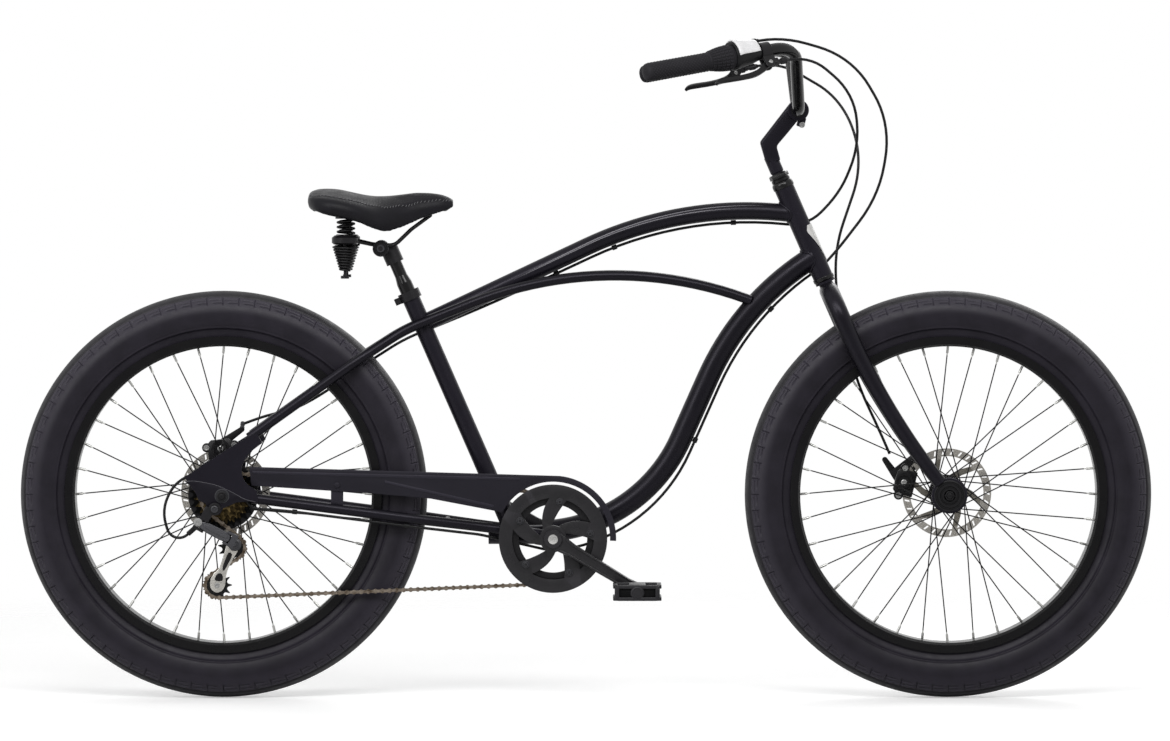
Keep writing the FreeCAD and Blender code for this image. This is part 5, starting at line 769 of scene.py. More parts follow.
def stitches(name, line):
    """Short slanted stitches that lie on the seam, in one mesh."""
    work = bmesh.new()
    travelled = 0.0
    for (place, normal), (after, _) in zip(line, line[1:]):
        run = (after - place).length
        travelled += run
        if travelled < STITCH_STEP or run < MERGE:
            continue
        travelled = 0.0
        way = (after - place).normalized()
        across = normal.cross(way).normalized()
        slant = (way * STITCH_LEAN + across).normalized()
        turn = Matrix(((slant.x, way.x, normal.x), (slant.y, way.y, normal.y), (slant.z, way.z, normal.z)))
        matrix = Matrix.Translation(place + normal * STITCH_RADIUS * 0.5) @ turn.to_4x4()
        matrix = matrix @ Matrix.Diagonal((STITCH_LENGTH / 2, STITCH_RADIUS, STITCH_RADIUS, 1.0))
        bmesh.ops.create_uvsphere(work, u_segments=8, v_segments=6, radius=1.0, matrix=matrix)
    return saved(work, bpy.data.meshes.new(name))


thread = rubber("waxed_thread", (0.12, 0.118, 0.125), 0.5, 0.3)
for side_name, side in SIDES:
    line = seam_line(side)
    cord = [place - normal * 0.3 * MM for place, normal in line]
    seam = cord_mesh(f"{side_name}_saddle_seam", cord, 0.9 * MM)
    piece(f"{side_name}_saddle_seam", seam, "saddle", vinyl)
    row = stitches(f"{side_name}_saddle_stitches", line)
    piece(f"{side_name}_saddle_stitches", row, "saddle", thread)


# saddle springs

COLLAR_RISE = 28 * MM


def springs():
    """Cones that stay with the post and open coils above them, both riding on the post; the coils get a mesh
    of their own.
    """
    for name, above in (("spring_cones", False), ("spring_coils", True)):
        mesh = copied("saddle_springs", name)
        work = opened(mesh, MERGE)
        out = [corner for corner in work.verts if (corner.co.z > SADDLE_POINT.z + COLLAR_RISE) != above]
        bmesh.ops.delete(work, geom=out, context="VERTS")
        saved(work, mesh)
        thing = piece(name, mesh, "post", spring_coat)
        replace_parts(thing, "saddle_springs")
        if above:
            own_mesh(thing)


springs()


# shaped pieces

LEAST_RADIUS = 1e-5
SAME_CORNER = 0.00006


def mm(x, y, z):
    """Point from millimetres."""
    return Vector((x, y, z)) * MM


def axes_at(origin, first, second):
    """Axes at a point: the first direction, the second squared to it, and their cross product."""
    first = first.normalized()
    third = first.cross(second).normalized()
    return Matrix.Translation(origin) @ Matrix((first, third.cross(first), third)).transposed().to_4x4()


def work_mesh(name, work):
    """Mesh from a work mesh, with its faces cut into triangles where they have many corners."""
    many = [face for face in work.faces if len(face.verts) > 4]
    bmesh.ops.triangulate(work, faces=many)
    bmesh.ops.recalc_face_normals(work, faces=work.faces)
    return saved(work, bpy.data.meshes.new(name))


def ease_edges(work, width, segments=2, angle=38.0):
    """Rounds the sharp edges of each separate solid of a work mesh."""
    left = set(work.verts)
    while left:
        island, reached = set(), [left.pop()]
        while reached:
            corner = reached.pop()
            island.add(corner)
            for edge in corner.link_edges:
                other = edge.other_vert(corner)
                if other in left:
                    left.discard(other)
                    reached.append(other)
        sharp = {edge for corner in island for edge in corner.link_edges
                 if len(edge.link_faces) == 2 and edge.calc_face_angle(0.0) > math.radians(angle)}
        bmesh.ops.bevel(work, geom=list(sharp), offset=width, segments=segments, profile=0.5,
                        affect="EDGES", clamp_overlap=True)


def prism(work, outline, low, high, place, ease, segments=2):
    """Adds a plate of an outline, from a low to a high face in the frame of a place; in millimetres."""
    solid = bmesh.new()
    ring = [solid.verts.new((x * MM, y * MM, low * MM)) for x, y in outline]
    solid.faces.new(ring)
    lifted = bmesh.ops.extrude_face_region(solid, geom=solid.faces[:])
    for item in lifted["geom"]:
        if isinstance(item, bmesh.types.BMVert):
            item.co.z = high * MM
    bmesh.ops.recalc_face_normals(solid, faces=solid.faces)
    ease_edges(solid, ease * MM, segments)
    bmesh.ops.transform(solid, matrix=place, verts=solid.verts)
    add_solid(work, solid)


def rectangle(left, right, low, high):
    """Outline of a rectangle."""
    return ((left, low), (right, low), (right, high), (left, high))


def add_mesh(work, mesh):
    """Moves a mesh into a work mesh."""
    work.from_mesh(mesh)
    bpy.data.meshes.remove(mesh)


def add_solid(work, solid):
    """Moves one work mesh into another."""
    add_mesh(work, saved(solid, bpy.data.meshes.new("solid")))


def turned(work, profile, base, way, sides=32):
    """Adds a turned solid; the profile is (radius, distance) in millimetres."""
    way = Vector(way).normalized()
    outward = directions_round(way, sides)
    vertices = [base + way * (far * MM) + out * max(radius * MM, LEAST_RADIUS)
                for radius, far in profile for out in outward]
    add_mesh(work, mesh_of("turned", vertices, grid_faces(len(profile), sides)))


def socket_bolt(work, base, way, radius, height):
    """Adds a bolt head with a socket."""
    turned(work, [(0, 0), (radius, 0), (radius, height * 0.75), (radius * 0.85, height),
                  (radius * 0.58, height), (radius * 0.5, height * 0.4), (0, height * 0.4)], base, way, 24)


def finished(name, work, body, finish, slot, *nodes):
    """Makes a work mesh into a piece that replaces nodes."""
    thing = piece(name, work_mesh(name, work), body, finish)
    sharp_edges(thing)
    if nodes:
        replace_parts(thing, *nodes)


def eased_copy(node, body, finish, slot, ease):
    """A node's own shape with its edges broken as by casting, forging or deburring."""
    work = opened(NODES[node].data, SAME_CORNER)
    bmesh.ops.dissolve_limit(work, angle_limit=math.radians(0.5), verts=work.verts, edges=work.edges)
    ease_edges(work, ease * MM)
    finished(f"eased_{node}", work, body, finish, slot, node)


for eased in (
        ("chain_guard", "frame", guard_paint, "frame_paint", 0.9),
        ("bearing_cups", "frame", gloss_black, "black_metal", 0.7),
        ("rear_axle", "frame", black_coat, "black_metal", 0.6),
        ("front_axle", "steering", black_coat, "black_metal", 0.6),
        ("rear_caliper", "frame", black_coat, "black_metal", 1.4),
        ("front_caliper", "steering", black_coat, "black_metal", 1.4),
        ("rear_caliper_arm", "rear_arm", black_coat, "black_metal", 0.8),
        ("front_caliper_arm", "front_arm", black_coat, "black_metal", 0.8),
        ("derailleur_base", "frame", black_coat, "black_metal", 0.9),
        ("derailleur_inner_link", "inner_link", black_coat, "black_metal", 0.7),
        ("derailleur_knuckle", "knuckle", grey_coat, "black_metal", 1.0),
        ("guard_ring", "crankset", crank_coat, "black_metal", 0.8),
        ("chainring", "crankset", black_coat, "black_metal", 0.35),
        ("crank_axles", "crankset", bright_steel, "bright_steel", 0.7),
):
    eased_copy(*eased)


# grips and controls

BAR_CLAMP = mm(380.05, 0, 1053.75)
GRIP, SLEEVE, HOUSING = 122.0, 50.0, 54.0
HOUSING_START = GRIP + SLEEVE + 0.6
LEVER_PLACE = {-1: HOUSING_START + HOUSING + 13, 1: GRIP + SLEEVE + 15}


def bar_end(side):
    """End of the bar on one side."""
    return BAR_CLAMP + mm(-274, side * 335, 66)


def bar_along(side):
    """Direction of a grip, from the end of the bar inward."""
    return (BAR_CLAMP + mm(-10, side * 190, 114) - bar_end(side)).normalized()


def on_grip(side, distance):
    """Point on the grip's axis, measured from the end of the bar."""
    return bar_end(side) + bar_along(side) * distance * MM


def lever_drop(side):
    """Direction from the grip towards the lever."""
    along = bar_along(side)
    up = (UP - along * along.z).normalized()
    return (along.cross(up) * -side * 0.5 - up * 0.87).normalized()


def between(stops, place):
    """Value at a place between (place, value) stops."""
    for (low, first), (high, second) in zip(stops, stops[1:]):
        if place <= high:
            return first + (second - first) * (place - low) / (high - low)
    return stops[-1][1]


def moulded(name, base, way, rows, around, bore=0.0):
    """Round moulding from rows of (distance, radius at each share of a turn); in millimetres."""
    if bore:
        inner = [(rows[-1][0], lambda share: bore), (rows[0][0], lambda share: bore)]
        rows = [*rows, *inner]
    outward = directions_round(way, around)
    vertices = [base + (way * distance + out * radius(number / around)) * MM
                for distance, radius in rows for number, out in enumerate(outward)]
    return mesh_of(name, vertices, grid_faces(len(rows), around, bool(bore)))


DOT_COLUMNS = 16
DOT_PERIOD = 6.3
DOT_HEIGHT = 0.8
GRIP_STEP = 0.8


def grip(side, length, name):
    """Rubber grip covered in small raised dots, with a round end and a smooth collar."""
    shape = ((-4.0, 4.0), (-3.4, 10.0), (-2.2, 13.2), (0.0, 15.0), (3.0, 15.9), (length - 7, 15.6),
             (length - 5, 16.2), (length - 0.8, 16.2), (length, 15.6))
    rows = []
    steps = int((length + 4) / GRIP_STEP)
    for number in range(steps + 1):
        place = -4 + (length + 4) * number / steps
        dotted = DOT_HEIGHT if 5 < place < length - 8 else 0.0
        wave = math.cos(2 * math.pi * place / DOT_PERIOD)
        plain = between(shape, place)
        rows.append((place, lambda share, plain=plain, wave=wave, dotted=dotted: plain + dotted * max(
            0.0, wave * math.cos(2 * math.pi * DOT_COLUMNS * share))))
    mesh = moulded(name, bar_end(side), bar_along(side), rows, DOT_COLUMNS * 8)
    return piece(name, mesh, "steering", grip_rubber)


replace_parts(grip(-1, GRIP, "right_grip_rubber"), "grips")
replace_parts(grip(1, GRIP + SLEEVE, "left_grip_rubber"), "grips")

SLEEVE_RIBS = 22
SLEEVE_SHAPE = ((0.0, 15.4), (1.0, 16.8), (8.0, 18.0), (18.0, 20.2), (28.0, 21.8), (38.0, 22.6), (46.0, 22.8),
                (50.0, 22.2))


def twist_sleeve():
    """Flared rubber sleeve of the shifter, moulded in short ribs."""
    rows = []
    steps = 72
    for number in range(steps + 1):
        place = SLEEVE * number / steps
        plain = between(SLEEVE_SHAPE, place)
        row_share = (place - 4) / 8.0 % 1
        ribbed = 1.1 if 4 < place < 44 and 0.12 < row_share < 0.88 else 0.0
        rows.append((place, lambda share, plain=plain, ribbed=ribbed: plain - 0.6 + ribbed * (
            0.22 < share * SLEEVE_RIBS % 1 < 0.86)))
    mesh = moulded("twist_sleeve", on_grip(-1, GRIP + 0.3), bar_along(-1), rows, SLEEVE_RIBS * 8, 11.2)
    thing = piece("twist_sleeve", mesh, "shift_sleeve", grip_rubber)
    sharp_edges(thing, 50.0)
    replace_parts(thing, "twist_grip")


twist_sleeve()

HOUSING_WIDE = ((0.0, 25.0), (4.0, 26.4), (12.0, 25.6), (30.0, 21.5), (46.0, 18.0), (54.0, 16.0))
HOUSING_UP = ((0.0, 27.0), (4.0, 28.6), (14.0, 28.2), (30.0, 25.6), (44.0, 24.0), (54.0, 22.0))
HOUSING_DOWN = ((0.0, 23.0), (4.0, 24.0), (16.0, 21.5), (40.0, 18.0), (54.0, 14.0))
COVER_ENDS = (4.0, 52.0)
COVER_LOW, COVER_HIGH = -26.0, 146.0


def housing_point(place, angle, proud=0.0):
    """Point of the shifter housing's skin, at an angle from its side towards its top."""
    up, along = -lever_drop(-1), bar_along(-1)
    across = along.cross(up)
    high = between(HOUSING_UP if math.sin(angle) > 0 else HOUSING_DOWN, place) + proud
    wide = between(HOUSING_WIDE, place) + proud
    out = across * wide * math.cos(angle) + up * high * math.sin(angle)
    return on_grip(-1, HOUSING_START + place) + out * MM


def shifter_housing():
    """Black drum of the shifter, its pale cover and the adjuster of the gear cable."""
    around, steps = 40, 18
    vertices = [housing_point(HOUSING * row / steps, 2 * math.pi * number / around)
                for row in range(steps + 1) for number in range(around)]
    work = bmesh.new()
    add_mesh(work, mesh_of("drum", vertices, grid_faces(steps + 1, around)))
    middle = on_grip(-1, HOUSING_START + HOUSING / 2)
    outlet = middle - lever_drop(-1) * 22 * MM
    turned(work, [(0, 4), (4.2, 4), (4.2, 22), (5.4, 22.5), (5.4, 32), (4.4, 33), (3.6, 38), (0, 38)],
           outlet, bar_along(-1), 20)
    finished("shifter_drum", work, "steering", black_plastic, "moulded_plastic", "shifter_housing")
    cover = bmesh.new()
    columns = 24
    skins = []
    for row in range(steps + 1):
        place = between(((0, COVER_ENDS[0]), (steps, COVER_ENDS[1])), row)
        low, high = COVER_LOW + 6 * row / steps, COVER_HIGH - 6 * row / steps
        angles = [math.radians(low + (high - low) * number / columns) for number in range(columns + 1)]
        outer = [housing_point(place, angle, 2.4) for angle in angles]
        inner = [housing_point(place, angle, -0.6) for angle in reversed(angles)]
        skins.append([cover.verts.new(spot) for spot in outer + inner])
    join_rows(cover, skins)
    for ring in (skins[0], skins[-1]):
        for number in range(columns):
            mirror = 2 * columns + 1 - number
            cover.faces.new((ring[number], ring[number + 1], ring[mirror - 1], ring[mirror]))
    bmesh.ops.recalc_face_normals(cover, faces=cover.faces)
    ease_edges(cover, 0.8 * MM)
    finished("shifter_cover", cover, "steering", pale_plastic, "moulded_plastic", "shifter_housing")


shifter_housing()


def smooth_outline(points, steps=5):
    """Closed smooth curve through points of an outline."""
    count = len(points)
    line = []
    for number in range(count):
        line += curve_part(*(points[(number + step) % count] for step in (-1, 0, 1, 2)), steps)
    return line


def curve_part(before, here, after, far, steps):
    """Places on a smooth curve from one point to the next, without the last."""
    before, here, after, far = (Vector(point) for point in (before, here, after, far))
    places = []
    for part in range(steps):
        share = part / steps
        places.append(tuple(0.5 * (2 * here + (after - before) * share
                                   + (2 * before - 5 * here + 4 * after - far) * share ** 2
                                   + (3 * here - before - 3 * after + far) * share ** 3)))
    return places


BLADE = ((-6, 25), (-2, 19.5), (8, 20), (24, 31.6), (42, 36.8), (66, 38.6), (98, 37.8), (111, 39.4),
         (117.5, 43.5), (115, 48), (106, 46.2), (66, 46.8), (36, 45.6), (16, 39.5), (2, 32.5), (-5, 31))
CHEEK = ((-9, 11), (9, 11), (11, 22), (9, 33), (-4, 33.5), (-11, 24))
PIN_DROP = 26.0

for side_name, side in SIDES:
    mount = on_grip(side, LEVER_PLACE[side])
    outward, drop = -bar_along(side), lever_drop(side)
    place = axes_at(mount, outward, drop)
    across = outward.cross(drop)
    blade = bmesh.new()
    prism(blade, smooth_outline(BLADE), -4.5, 4.5, place, 2.4, 3)
    finished(f"{side_name}_lever_blade", blade, f"{side_name}_lever", black_coat, "black_metal",
             f"{side_name}_brake_lever")
    bracket = bmesh.new()
    turned(bracket, [(11.1, -10), (15, -10), (16.1, -9), (16.1, 9), (15, 10), (11.1, 10), (11.1, -10)],
           mount, outward, 40)
    for low, high in ((5.0, 9.0), (-9.0, -5.0)):
        prism(bracket, smooth_outline(CHEEK, 4), low, high, place, 1.0)
    prism(bracket, rectangle(-17, -9, 19.5, 30), -9, 9, place, 1.6)
    turned(bracket, [(0, 14), (5.6, 14), (5.6, 19), (4.6, 20), (4.6, 24), (5.8, 25), (5.8, 35), (4.6, 36.5),
                     (3.6, 41), (0, 41)], mount + drop * 25 * MM, -outward, 18)
    finished(f"{side_name}_lever_mount", bracket, "steering", black_coat, "black_metal", "lever_brackets")
    pins = bmesh.new()
    pin = mount + drop * PIN_DROP * MM
    for sign in (1, -1):
        socket_bolt(pins, pin + across * sign * 8.6 * MM, across * sign, 3.6, 1.8)
    finished(f"{side_name}_lever_pin", pins, "steering", bolt_steel, "bright_steel")


# stem

STEER_FOOT = mm(604.18, 0, 344.98)
HEAD_TOP = 621.7
STEM_ARM = ((311.5, 996.5), (365.5, 1066.5), (388, 1056), (380, 1036), (362, 1013.5), (341.5, 989.5),
            (349, 963), (322.5, 959))


def on_steerer(distance):
    """Point on the steering axis, measured from its foot in millimetres."""
    return STEER_FOOT + STEER_UP * distance * MM


def stem():
    """Quill, cranked arm, bar clamp with its pinch bolt, and the lock nuts below."""
    work = bmesh.new()
    turned(work, [(0, -60), (11.1, -60), (11.1, 30), (12.3, 31), (12.3, 62), (0, 62)], on_steerer(HEAD_TOP),
           STEER_UP, 40)
    plane = axes_at(Vector(), AHEAD, UP)
    prism(work, STEM_ARM, -13.5, 13.5, plane, 4.5, 3)
    turned(work, [(0, -21), (17.4, -21), (19.2, -19.2), (19.2, -1), (18.6, -0.5), (18.6, 0.5), (19.2, 1),
                  (19.2, 19.2), (17.4, 21), (0, 21)], BAR_CLAMP, LEFT, 48)
    tail = axes_at(BAR_CLAMP + mm(6, 0, -21), Vector((0.966, 0, -0.259)), Vector((0.259, 0, 0.966)))
    for low, high in ((-11, -1), (1, 11)):
        prism(work, rectangle(-7, 7, -9, 9), low, high, tail, 2.0)
    finished("stem_forging", work, "steering", lighter_fork_paint, "black_metal", "stem")
    nuts = bmesh.new()
    turned(nuts, [(12.7, 12.3), (16.4, 12.3), (17, 13), (17, 17.4), (16, 18.2), (15.4, 18.4), (15.4, 19.2),
                  (12.7, 19.2), (12.7, 12.3)], on_steerer(HEAD_TOP), STEER_UP, 48)
    turned(nuts, [(12.7, 19.2), (17.2, 19.2), (18, 20), (18, 25.8), (17.4, 26.6), (16, 28), (12.7, 28),
                  (12.7, 19.2)],
           on_steerer(HEAD_TOP), STEER_UP, 8)
    finished("stem_lock_nuts", nuts, "steering", gloss_black, "black_metal", "stem")
    bolts = bmesh.new()
    pinch = BAR_CLAMP + mm(7, 0, -26)
    for sign in (1, -1):
        socket_bolt(bolts, pinch + mm(0, sign * 10.8, 0), Vector((0, sign, 0)), 5.4, 4.2)
    finished("stem_pinch_bolt", bolts, "steering", bolt_steel, "bright_steel", "stem")


stem()


# brakes

def brake_details(name, hub, angle, plane, body):
    """Piston cap, ears and bolts on the inner face of a caliper, and the bolts on its outer face."""
    turn = math.radians(angle)
    out = Vector((math.cos(turn), 0, math.sin(turn)))
    ahead = Vector((math.sin(turn), 0, -math.cos(turn)))
    face = plane - 14

    def spot(radial, tangential, across):
        return hub + (out * radial + ahead * tangential + Vector((0, across, 0))) * MM

    work = bmesh.new()
    cap = spot(80, 0, face + 1)
    turned(work, [(0, 0), (16.5, 0), (16.5, 2.2), (15.2, 3.4), (12.4, 3.4), (11.8, 2.6), (10.8, 2.6),
                  (10.2, 3.8), (6.4, 3.8), (0, 3.8)], cap, SIDE, 40)
    for sign in (1, -1):
        turned(work, [(0, 0), (7.6, 0), (8.2, 1), (8.2, 10), (7.2, 11), (0, 11)],
               spot(84, sign * 25, face + 13), SIDE, 28)
        ear = axes_at(spot(83, sign * 20, face + 7), ahead, out)
        prism(work, rectangle(-8, 8, -6, 6), -5, 5, ear, 1.5)
    finished(f"{name}_caliper_cap", work, body, black_coat, "black_metal")
    bolts = bmesh.new()
    socket_bolt(bolts, spot(80, 0, face - 2.6), SIDE, 5.2, 2.0)
    for sign in (1, -1):
        socket_bolt(bolts, spot(84, sign * 25, face + 2.2), SIDE, 5.6, 3.0)
    finished(f"{name}_caliper_bolts", bolts, body, bolt_steel, "bright_steel")


brake_details("front", FRONT_HUB, 166, 44.5, "steering")
brake_details("rear", REAR_HUB, 96, 57.9, "frame")


# hub ends

FORK_END = 67
FRAME_END = 81
LAP_FACE = 82.3


def front_cap():
    """Stepped rings over the fork ends, round the axle nuts."""
    for name, sign in SIDES:
        work = bmesh.new()
        turned(work, [(9.4, 0), (27, 0), (28, 0.8), (28, 1.6), (25.5, 2.2), (24.6, 1.4), (22.4, 1.4),
                      (21.6, 2.8), (17, 2.8), (16, 1.8), (14.6, 1.8), (13.8, 3.2), (10.4, 3.2), (9.4, 2.4),
                      (9.4, 0)],
               FRONT_HUB + mm(0, sign * FORK_END, 0), Vector((0, sign, 0)), 56)
        finished(f"{name}_fork_end_cap", work, "steering", black_coat, "black_metal")


front_cap()


def rear_washers():
    """Round washers under the rear axle nuts."""
    for name, sign in SIDES:
        work = bmesh.new()
        turned(work, [(5.2, 0), (12.4, 0), (13, 0.6), (13, 1.8), (12.2, 2.4), (11.2, 2.4), (10.6, 1.9),
                      (5.2, 1.9), (5.2, 0)],
               REAR_HUB + mm(0, sign * FRAME_END, 0), Vector((0, sign, 0)), 40)
        finished(f"{name}_axle_washer", work, "frame", grey_coat, "black_metal")


rear_washers()

LAP = ((-66, 26), (-52, 27), (-39.6, 25.6), (-22, 22.4), (-7, 18.2), (10, 11), (23.4, 4), (40, -5),
       (60, -10.6), (45.7, -9.2), (26, -10.9), (2, -21.4), (-3.5, -31.4), (-12.6, -34.3), (-21.5, -31.4),
       (-25.5, -21.6), (-29.6, -12.4), (-41.5, -7.4), (-45.4, 3), (-56.4, 19))
# Lighter paint for the raised lap edge: painted highlight.
edge_paint = paint("painted_highlight_edge_paint", (0.05, 0.048, 0.056), 0.36, 0.3, 1.4)


def smooth_line(points, steps=5):
    """Open smooth curve through points."""
    ends = [points[0], *points, points[-1]]
    line = []
    for before, here, after, far in zip(ends, ends[1:], ends[2:], ends[3:]):
        line += curve_part(before, here, after, far, steps)
    return [*line, points[-1]]


def dropout_lap():
    """Lower plate that laps over each frame end and leaves a thin raised edge across it, painted lighter as a
    painted highlight.
    """
    for name, sign in SIDES:
        work = bmesh.new()
        plane = axes_at(REAR_HUB + mm(0, sign * FRAME_END, 0), AHEAD, UP)
        low, high = (-0.2, 1.5) if sign < 0 else (-1.5, 0.2)
        outline = LAP if sign < 0 else LAP[:11] + ((10, -15), (-12, -16)) + LAP[16:]
        prism(work, outline, low, high, plane, 0.4)
        finished(f"{name}_dropout_lap", work, "frame", frame_paint, "frame_paint")
        edge = [REAR_HUB + mm(x, sign * LAP_FACE, z) for x, z in smooth_line(LAP[:9])]
        cord = cord_mesh(f"{name}_lap_edge", edge, 0.7 * MM)
        piece(f"{name}_lap_edge", cord, "frame", edge_paint)


dropout_lap()


# pedals

# Near-black plastic for sheets in the pedal windows: painted shade.
window_shade_plastic = plastic("painted_shade_plastic", (0.0025, 0.0025, 0.0028), 0.5, 0.08)
pedal_plastic = plastic("pedal_plastic", (0.017, 0.0165, 0.019), 0.42, 0.24)


def pedal(side_name):
    """Platform pedal: two toothed frames joined by posts round the barrel, with near-black sheets in its open
    windows as painted shade.
    """
    body = f"{side_name}_pedal"
    low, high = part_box(body)
    middle = (low + high) / 2
    half = (high - low) / 2 / MM
    work = bmesh.new()
    flat = axes_at(middle, AHEAD, LEFT)
    for sign in (1, -1):
        under, over = sorted((sign * half.z, sign * (half.z - 6.5)))
        for across in (1, -1):
            edge, inner = sorted((across * half.y, across * (half.y - 9)))
            first, second = (half.x - 9, half.x - 2) if across < 0 else (half.x - 2, half.x - 9)
            prism(work, ((-first, edge), (first, edge), (second, inner), (-second, inner)),
                  under, over, flat, 1.4)
        for ahead in (1, -1):
            near, far = sorted((ahead * half.x, ahead * (half.x - 8)))
            prism(work, rectangle(near, far, -half.y + 6, half.y - 6), under, over, flat, 1.2)
            for number in range(7):
                tooth = middle + mm(ahead * (half.x - 4), (number - 3) * 11.5, sign * (half.z - 1.4))
                turned(work, [(0, 0), (2.6, 0), (1.5, 1.4), (0, 1.4)], tooth, Vector((0, 0, sign)), 10)
        prism(work, rectangle(-15, 15, -half.y + 4, half.y - 4), under, over, flat, 1.4)
    for across in (1, -1):
        near, far = sorted((across * half.y, across * (half.y - 7)))
        for post in (-1, 1):
            spot = post * (half.x - 7)
            prism(work, rectangle(spot - 4, spot + 4, near, far), -half.z + 2, half.z - 2, flat, 1.2)
    turned(work, [(0, -half.y + 0.6), (11.4, -half.y + 0.6), (12.6, -half.y + 2), (12.6, half.y - 2),
                  (11.4, half.y - 0.6), (0, half.y - 0.6)], middle, LEFT, 32)
    # Sheets inside the windows, painted near black: painted shade.
    window_shade_sheets = bmesh.new()
    for across in (1, -1):
        near, far = sorted((across * (half.y - 4), across * (half.y - 6)))
        prism(window_shade_sheets, rectangle(-half.x + 8, half.x - 8, near, far), -half.z + 4, half.z - 4, flat, 0.6)
        turned(work, [(0, 0), (11.2, 0), (11.2, 0.8), (9.8, 1.5), (8.6, 1.5), (8.2, 0.9), (0, 0.9)],
               middle + mm(0, across * (half.y - 0.8), 0), Vector((0, across, 0)), 32)
    finished(f"{side_name}_pedal_platform", work, body, pedal_plastic, "moulded_plastic", body)
    finished(f"{side_name}_pedal_core", window_shade_sheets, body, window_shade_plastic, "moulded_plastic", body)


for side_name, _ in SIDES:
    pedal(side_name)


# cranks

CRANK_LEAN = math.radians(31.0)
CRANK_REACH = 175.0
CRANK_FACE = 72
BOLT_CIRCLE, BOLT_FACE, FIRST_BOLT = 67, -66.5, 79.5
CRANK_UP = Vector((math.sin(CRANK_LEAN), 0, math.cos(CRANK_LEAN)))
RIDGE = ((17, 14.4), (40, 11.3), (153, 9.3), (163, 10.2), (163, 6.6), (153, 5.6), (40, 7.2), (22, 9.6))


def round_end(centre, radius, start, steps=14):
    """Half circle of an outline in the plane of a crank."""
    places = []
    for number in range(steps + 1):
        angle = math.radians(start + 180 * number / steps)
        places.append((centre + radius * math.cos(angle), radius * math.sin(angle)))
    return places


def crank(side_name, sign):
    """Forged crank with a raised edge on both sides of a long hollow, a boss and a pedal eye."""
    along = Vector((math.cos(CRANK_LEAN), 0, -math.sin(CRANK_LEAN))) * -sign
    outward = Vector((0, sign, 0))
    spindle = BRACKET + outward * CRANK_FACE * MM
    place = axes_at(spindle, along, CRANK_UP)
    work = bmesh.new()
    outline = round_end(0, 17, 90) + [(40, -12), (153, -10)]
    outline += round_end(CRANK_REACH, 12.5, -90) + [(153, 10), (40, 12)]
    prism(work, outline, 0, 12, place, 1.6)
    prism(work, RIDGE, 9, 14, place, 1.3)
    prism(work, tuple((x, -y) for x, y in reversed(RIDGE)), 9, 14, place, 1.3)
    turned(work, [(8, 11), (17, 11), (17, 14.4), (15.6, 16.3), (9, 16.3), (8, 15.6), (8, 11)], spindle,
           outward, 48)
    eye = spindle + along * CRANK_REACH * MM
    turned(work, [(6.4, 11), (12.4, 11), (12.4, 13), (11.2, 14), (7.2, 14), (6.4, 13.4), (6.4, 11)], eye,
           outward, 40)
    finished(f"{side_name}_crank_arm", work, "crankset", crank_coat, "black_metal", "cranks")


for side_name, side in SIDES:
    crank(side_name, side)


def ring_bolts():
    """Heads of the five bolts that join ring and guard."""
    work = bmesh.new()
    for number in range(5):
        angle = math.radians(FIRST_BOLT + 72 * number)
        spot = BRACKET + mm(BOLT_CIRCLE * math.cos(angle), BOLT_FACE, BOLT_CIRCLE * math.sin(angle))
        turned(work, [(0, 0), (6.6, 0), (6.6, 1.8), (5.8, 2.6), (5.2, 2.6), (5.2, 0.4), (0, 0.4)], spot, SIDE,
               24)
        socket_bolt(work, spot + SIDE * 0.8 * MM, SIDE, 4.4, 2.2)
    finished("ring_bolts", work, "crankset", grey_coat, "black_metal")


ring_bolts()


# derailleur

LINK_START = mm(-683, -92, 313)
LINK_TURN = math.radians(28.17)
LINK_ALONG = Vector((math.cos(LINK_TURN), 0, -math.sin(LINK_TURN)))
LINK_UP = Vector((math.sin(LINK_TURN), 0, math.cos(LINK_TURN)))
LINK_SHAPE = ((-5.5, -5.5), (4, -8.4), (22, -9.4), (42, -9), (52, -6.4), (54, 0), (50, 7), (36, 9.2),
              (14, 8.8), (0, 7.6), (-6, 3))


def outer_link():
    """Rounded outer link with a raised spine."""
    work = bmesh.new()
    place = axes_at(LINK_START, LINK_ALONG * 48.8 + Vector((0, 8, 0)), LINK_UP)
    prism(work, smooth_outline(LINK_SHAPE), -3.6, 2.6, place, 2.2, 3)
    prism(work, smooth_outline([(x * 0.8 + 5, y * 0.42 + 1.6) for x, y in LINK_SHAPE]), 1.6, 4.0, place, 1.1)
    finished("derailleur_link_shell", work, "outer_link", link_coat, "black_metal", "derailleur_outer_link")


link_coat = paint("grey_link_coat", (0.042, 0.042, 0.048), 0.3, 0.5, 1.6)
outer_link()


def derailleur_bolts():
    """Mounting bolt, plated stop bolt and the cap over the cage spring."""
    dark = bmesh.new()
    socket_bolt(dark, mm(-662.6, -99.6, 342.5), SIDE, 6.4, 2.4)
    finished("derailleur_mount_bolt", dark, "frame", grey_coat, "black_metal")
    plated = bmesh.new()
    turned(plated, [(0, -1), (7.4, -1), (7.4, 0.8), (6.4, 1.6), (0, 1.6)], mm(-692.5, -96, 319), SIDE, 28)
    socket_bolt(plated, mm(-692.5, -97, 319), SIDE, 5.0, 2.4)
    finished("derailleur_stop_bolt", plated, "frame", bolt_steel, "bright_steel")
    cap = bmesh.new()
    turned(cap, [(0, -2), (11.6, -2), (11.6, 0.6), (10.2, 2.0), (7.0, 2.6), (6.2, 1.8), (3.6, 1.8),
                 (3.0, 2.8), (0, 2.8)],
           mm(-627, -85, 278.5), SIDE, 40)
    finished("cage_spring_cap", cap, "knuckle", grey_coat, "black_metal")


derailleur_bolts()

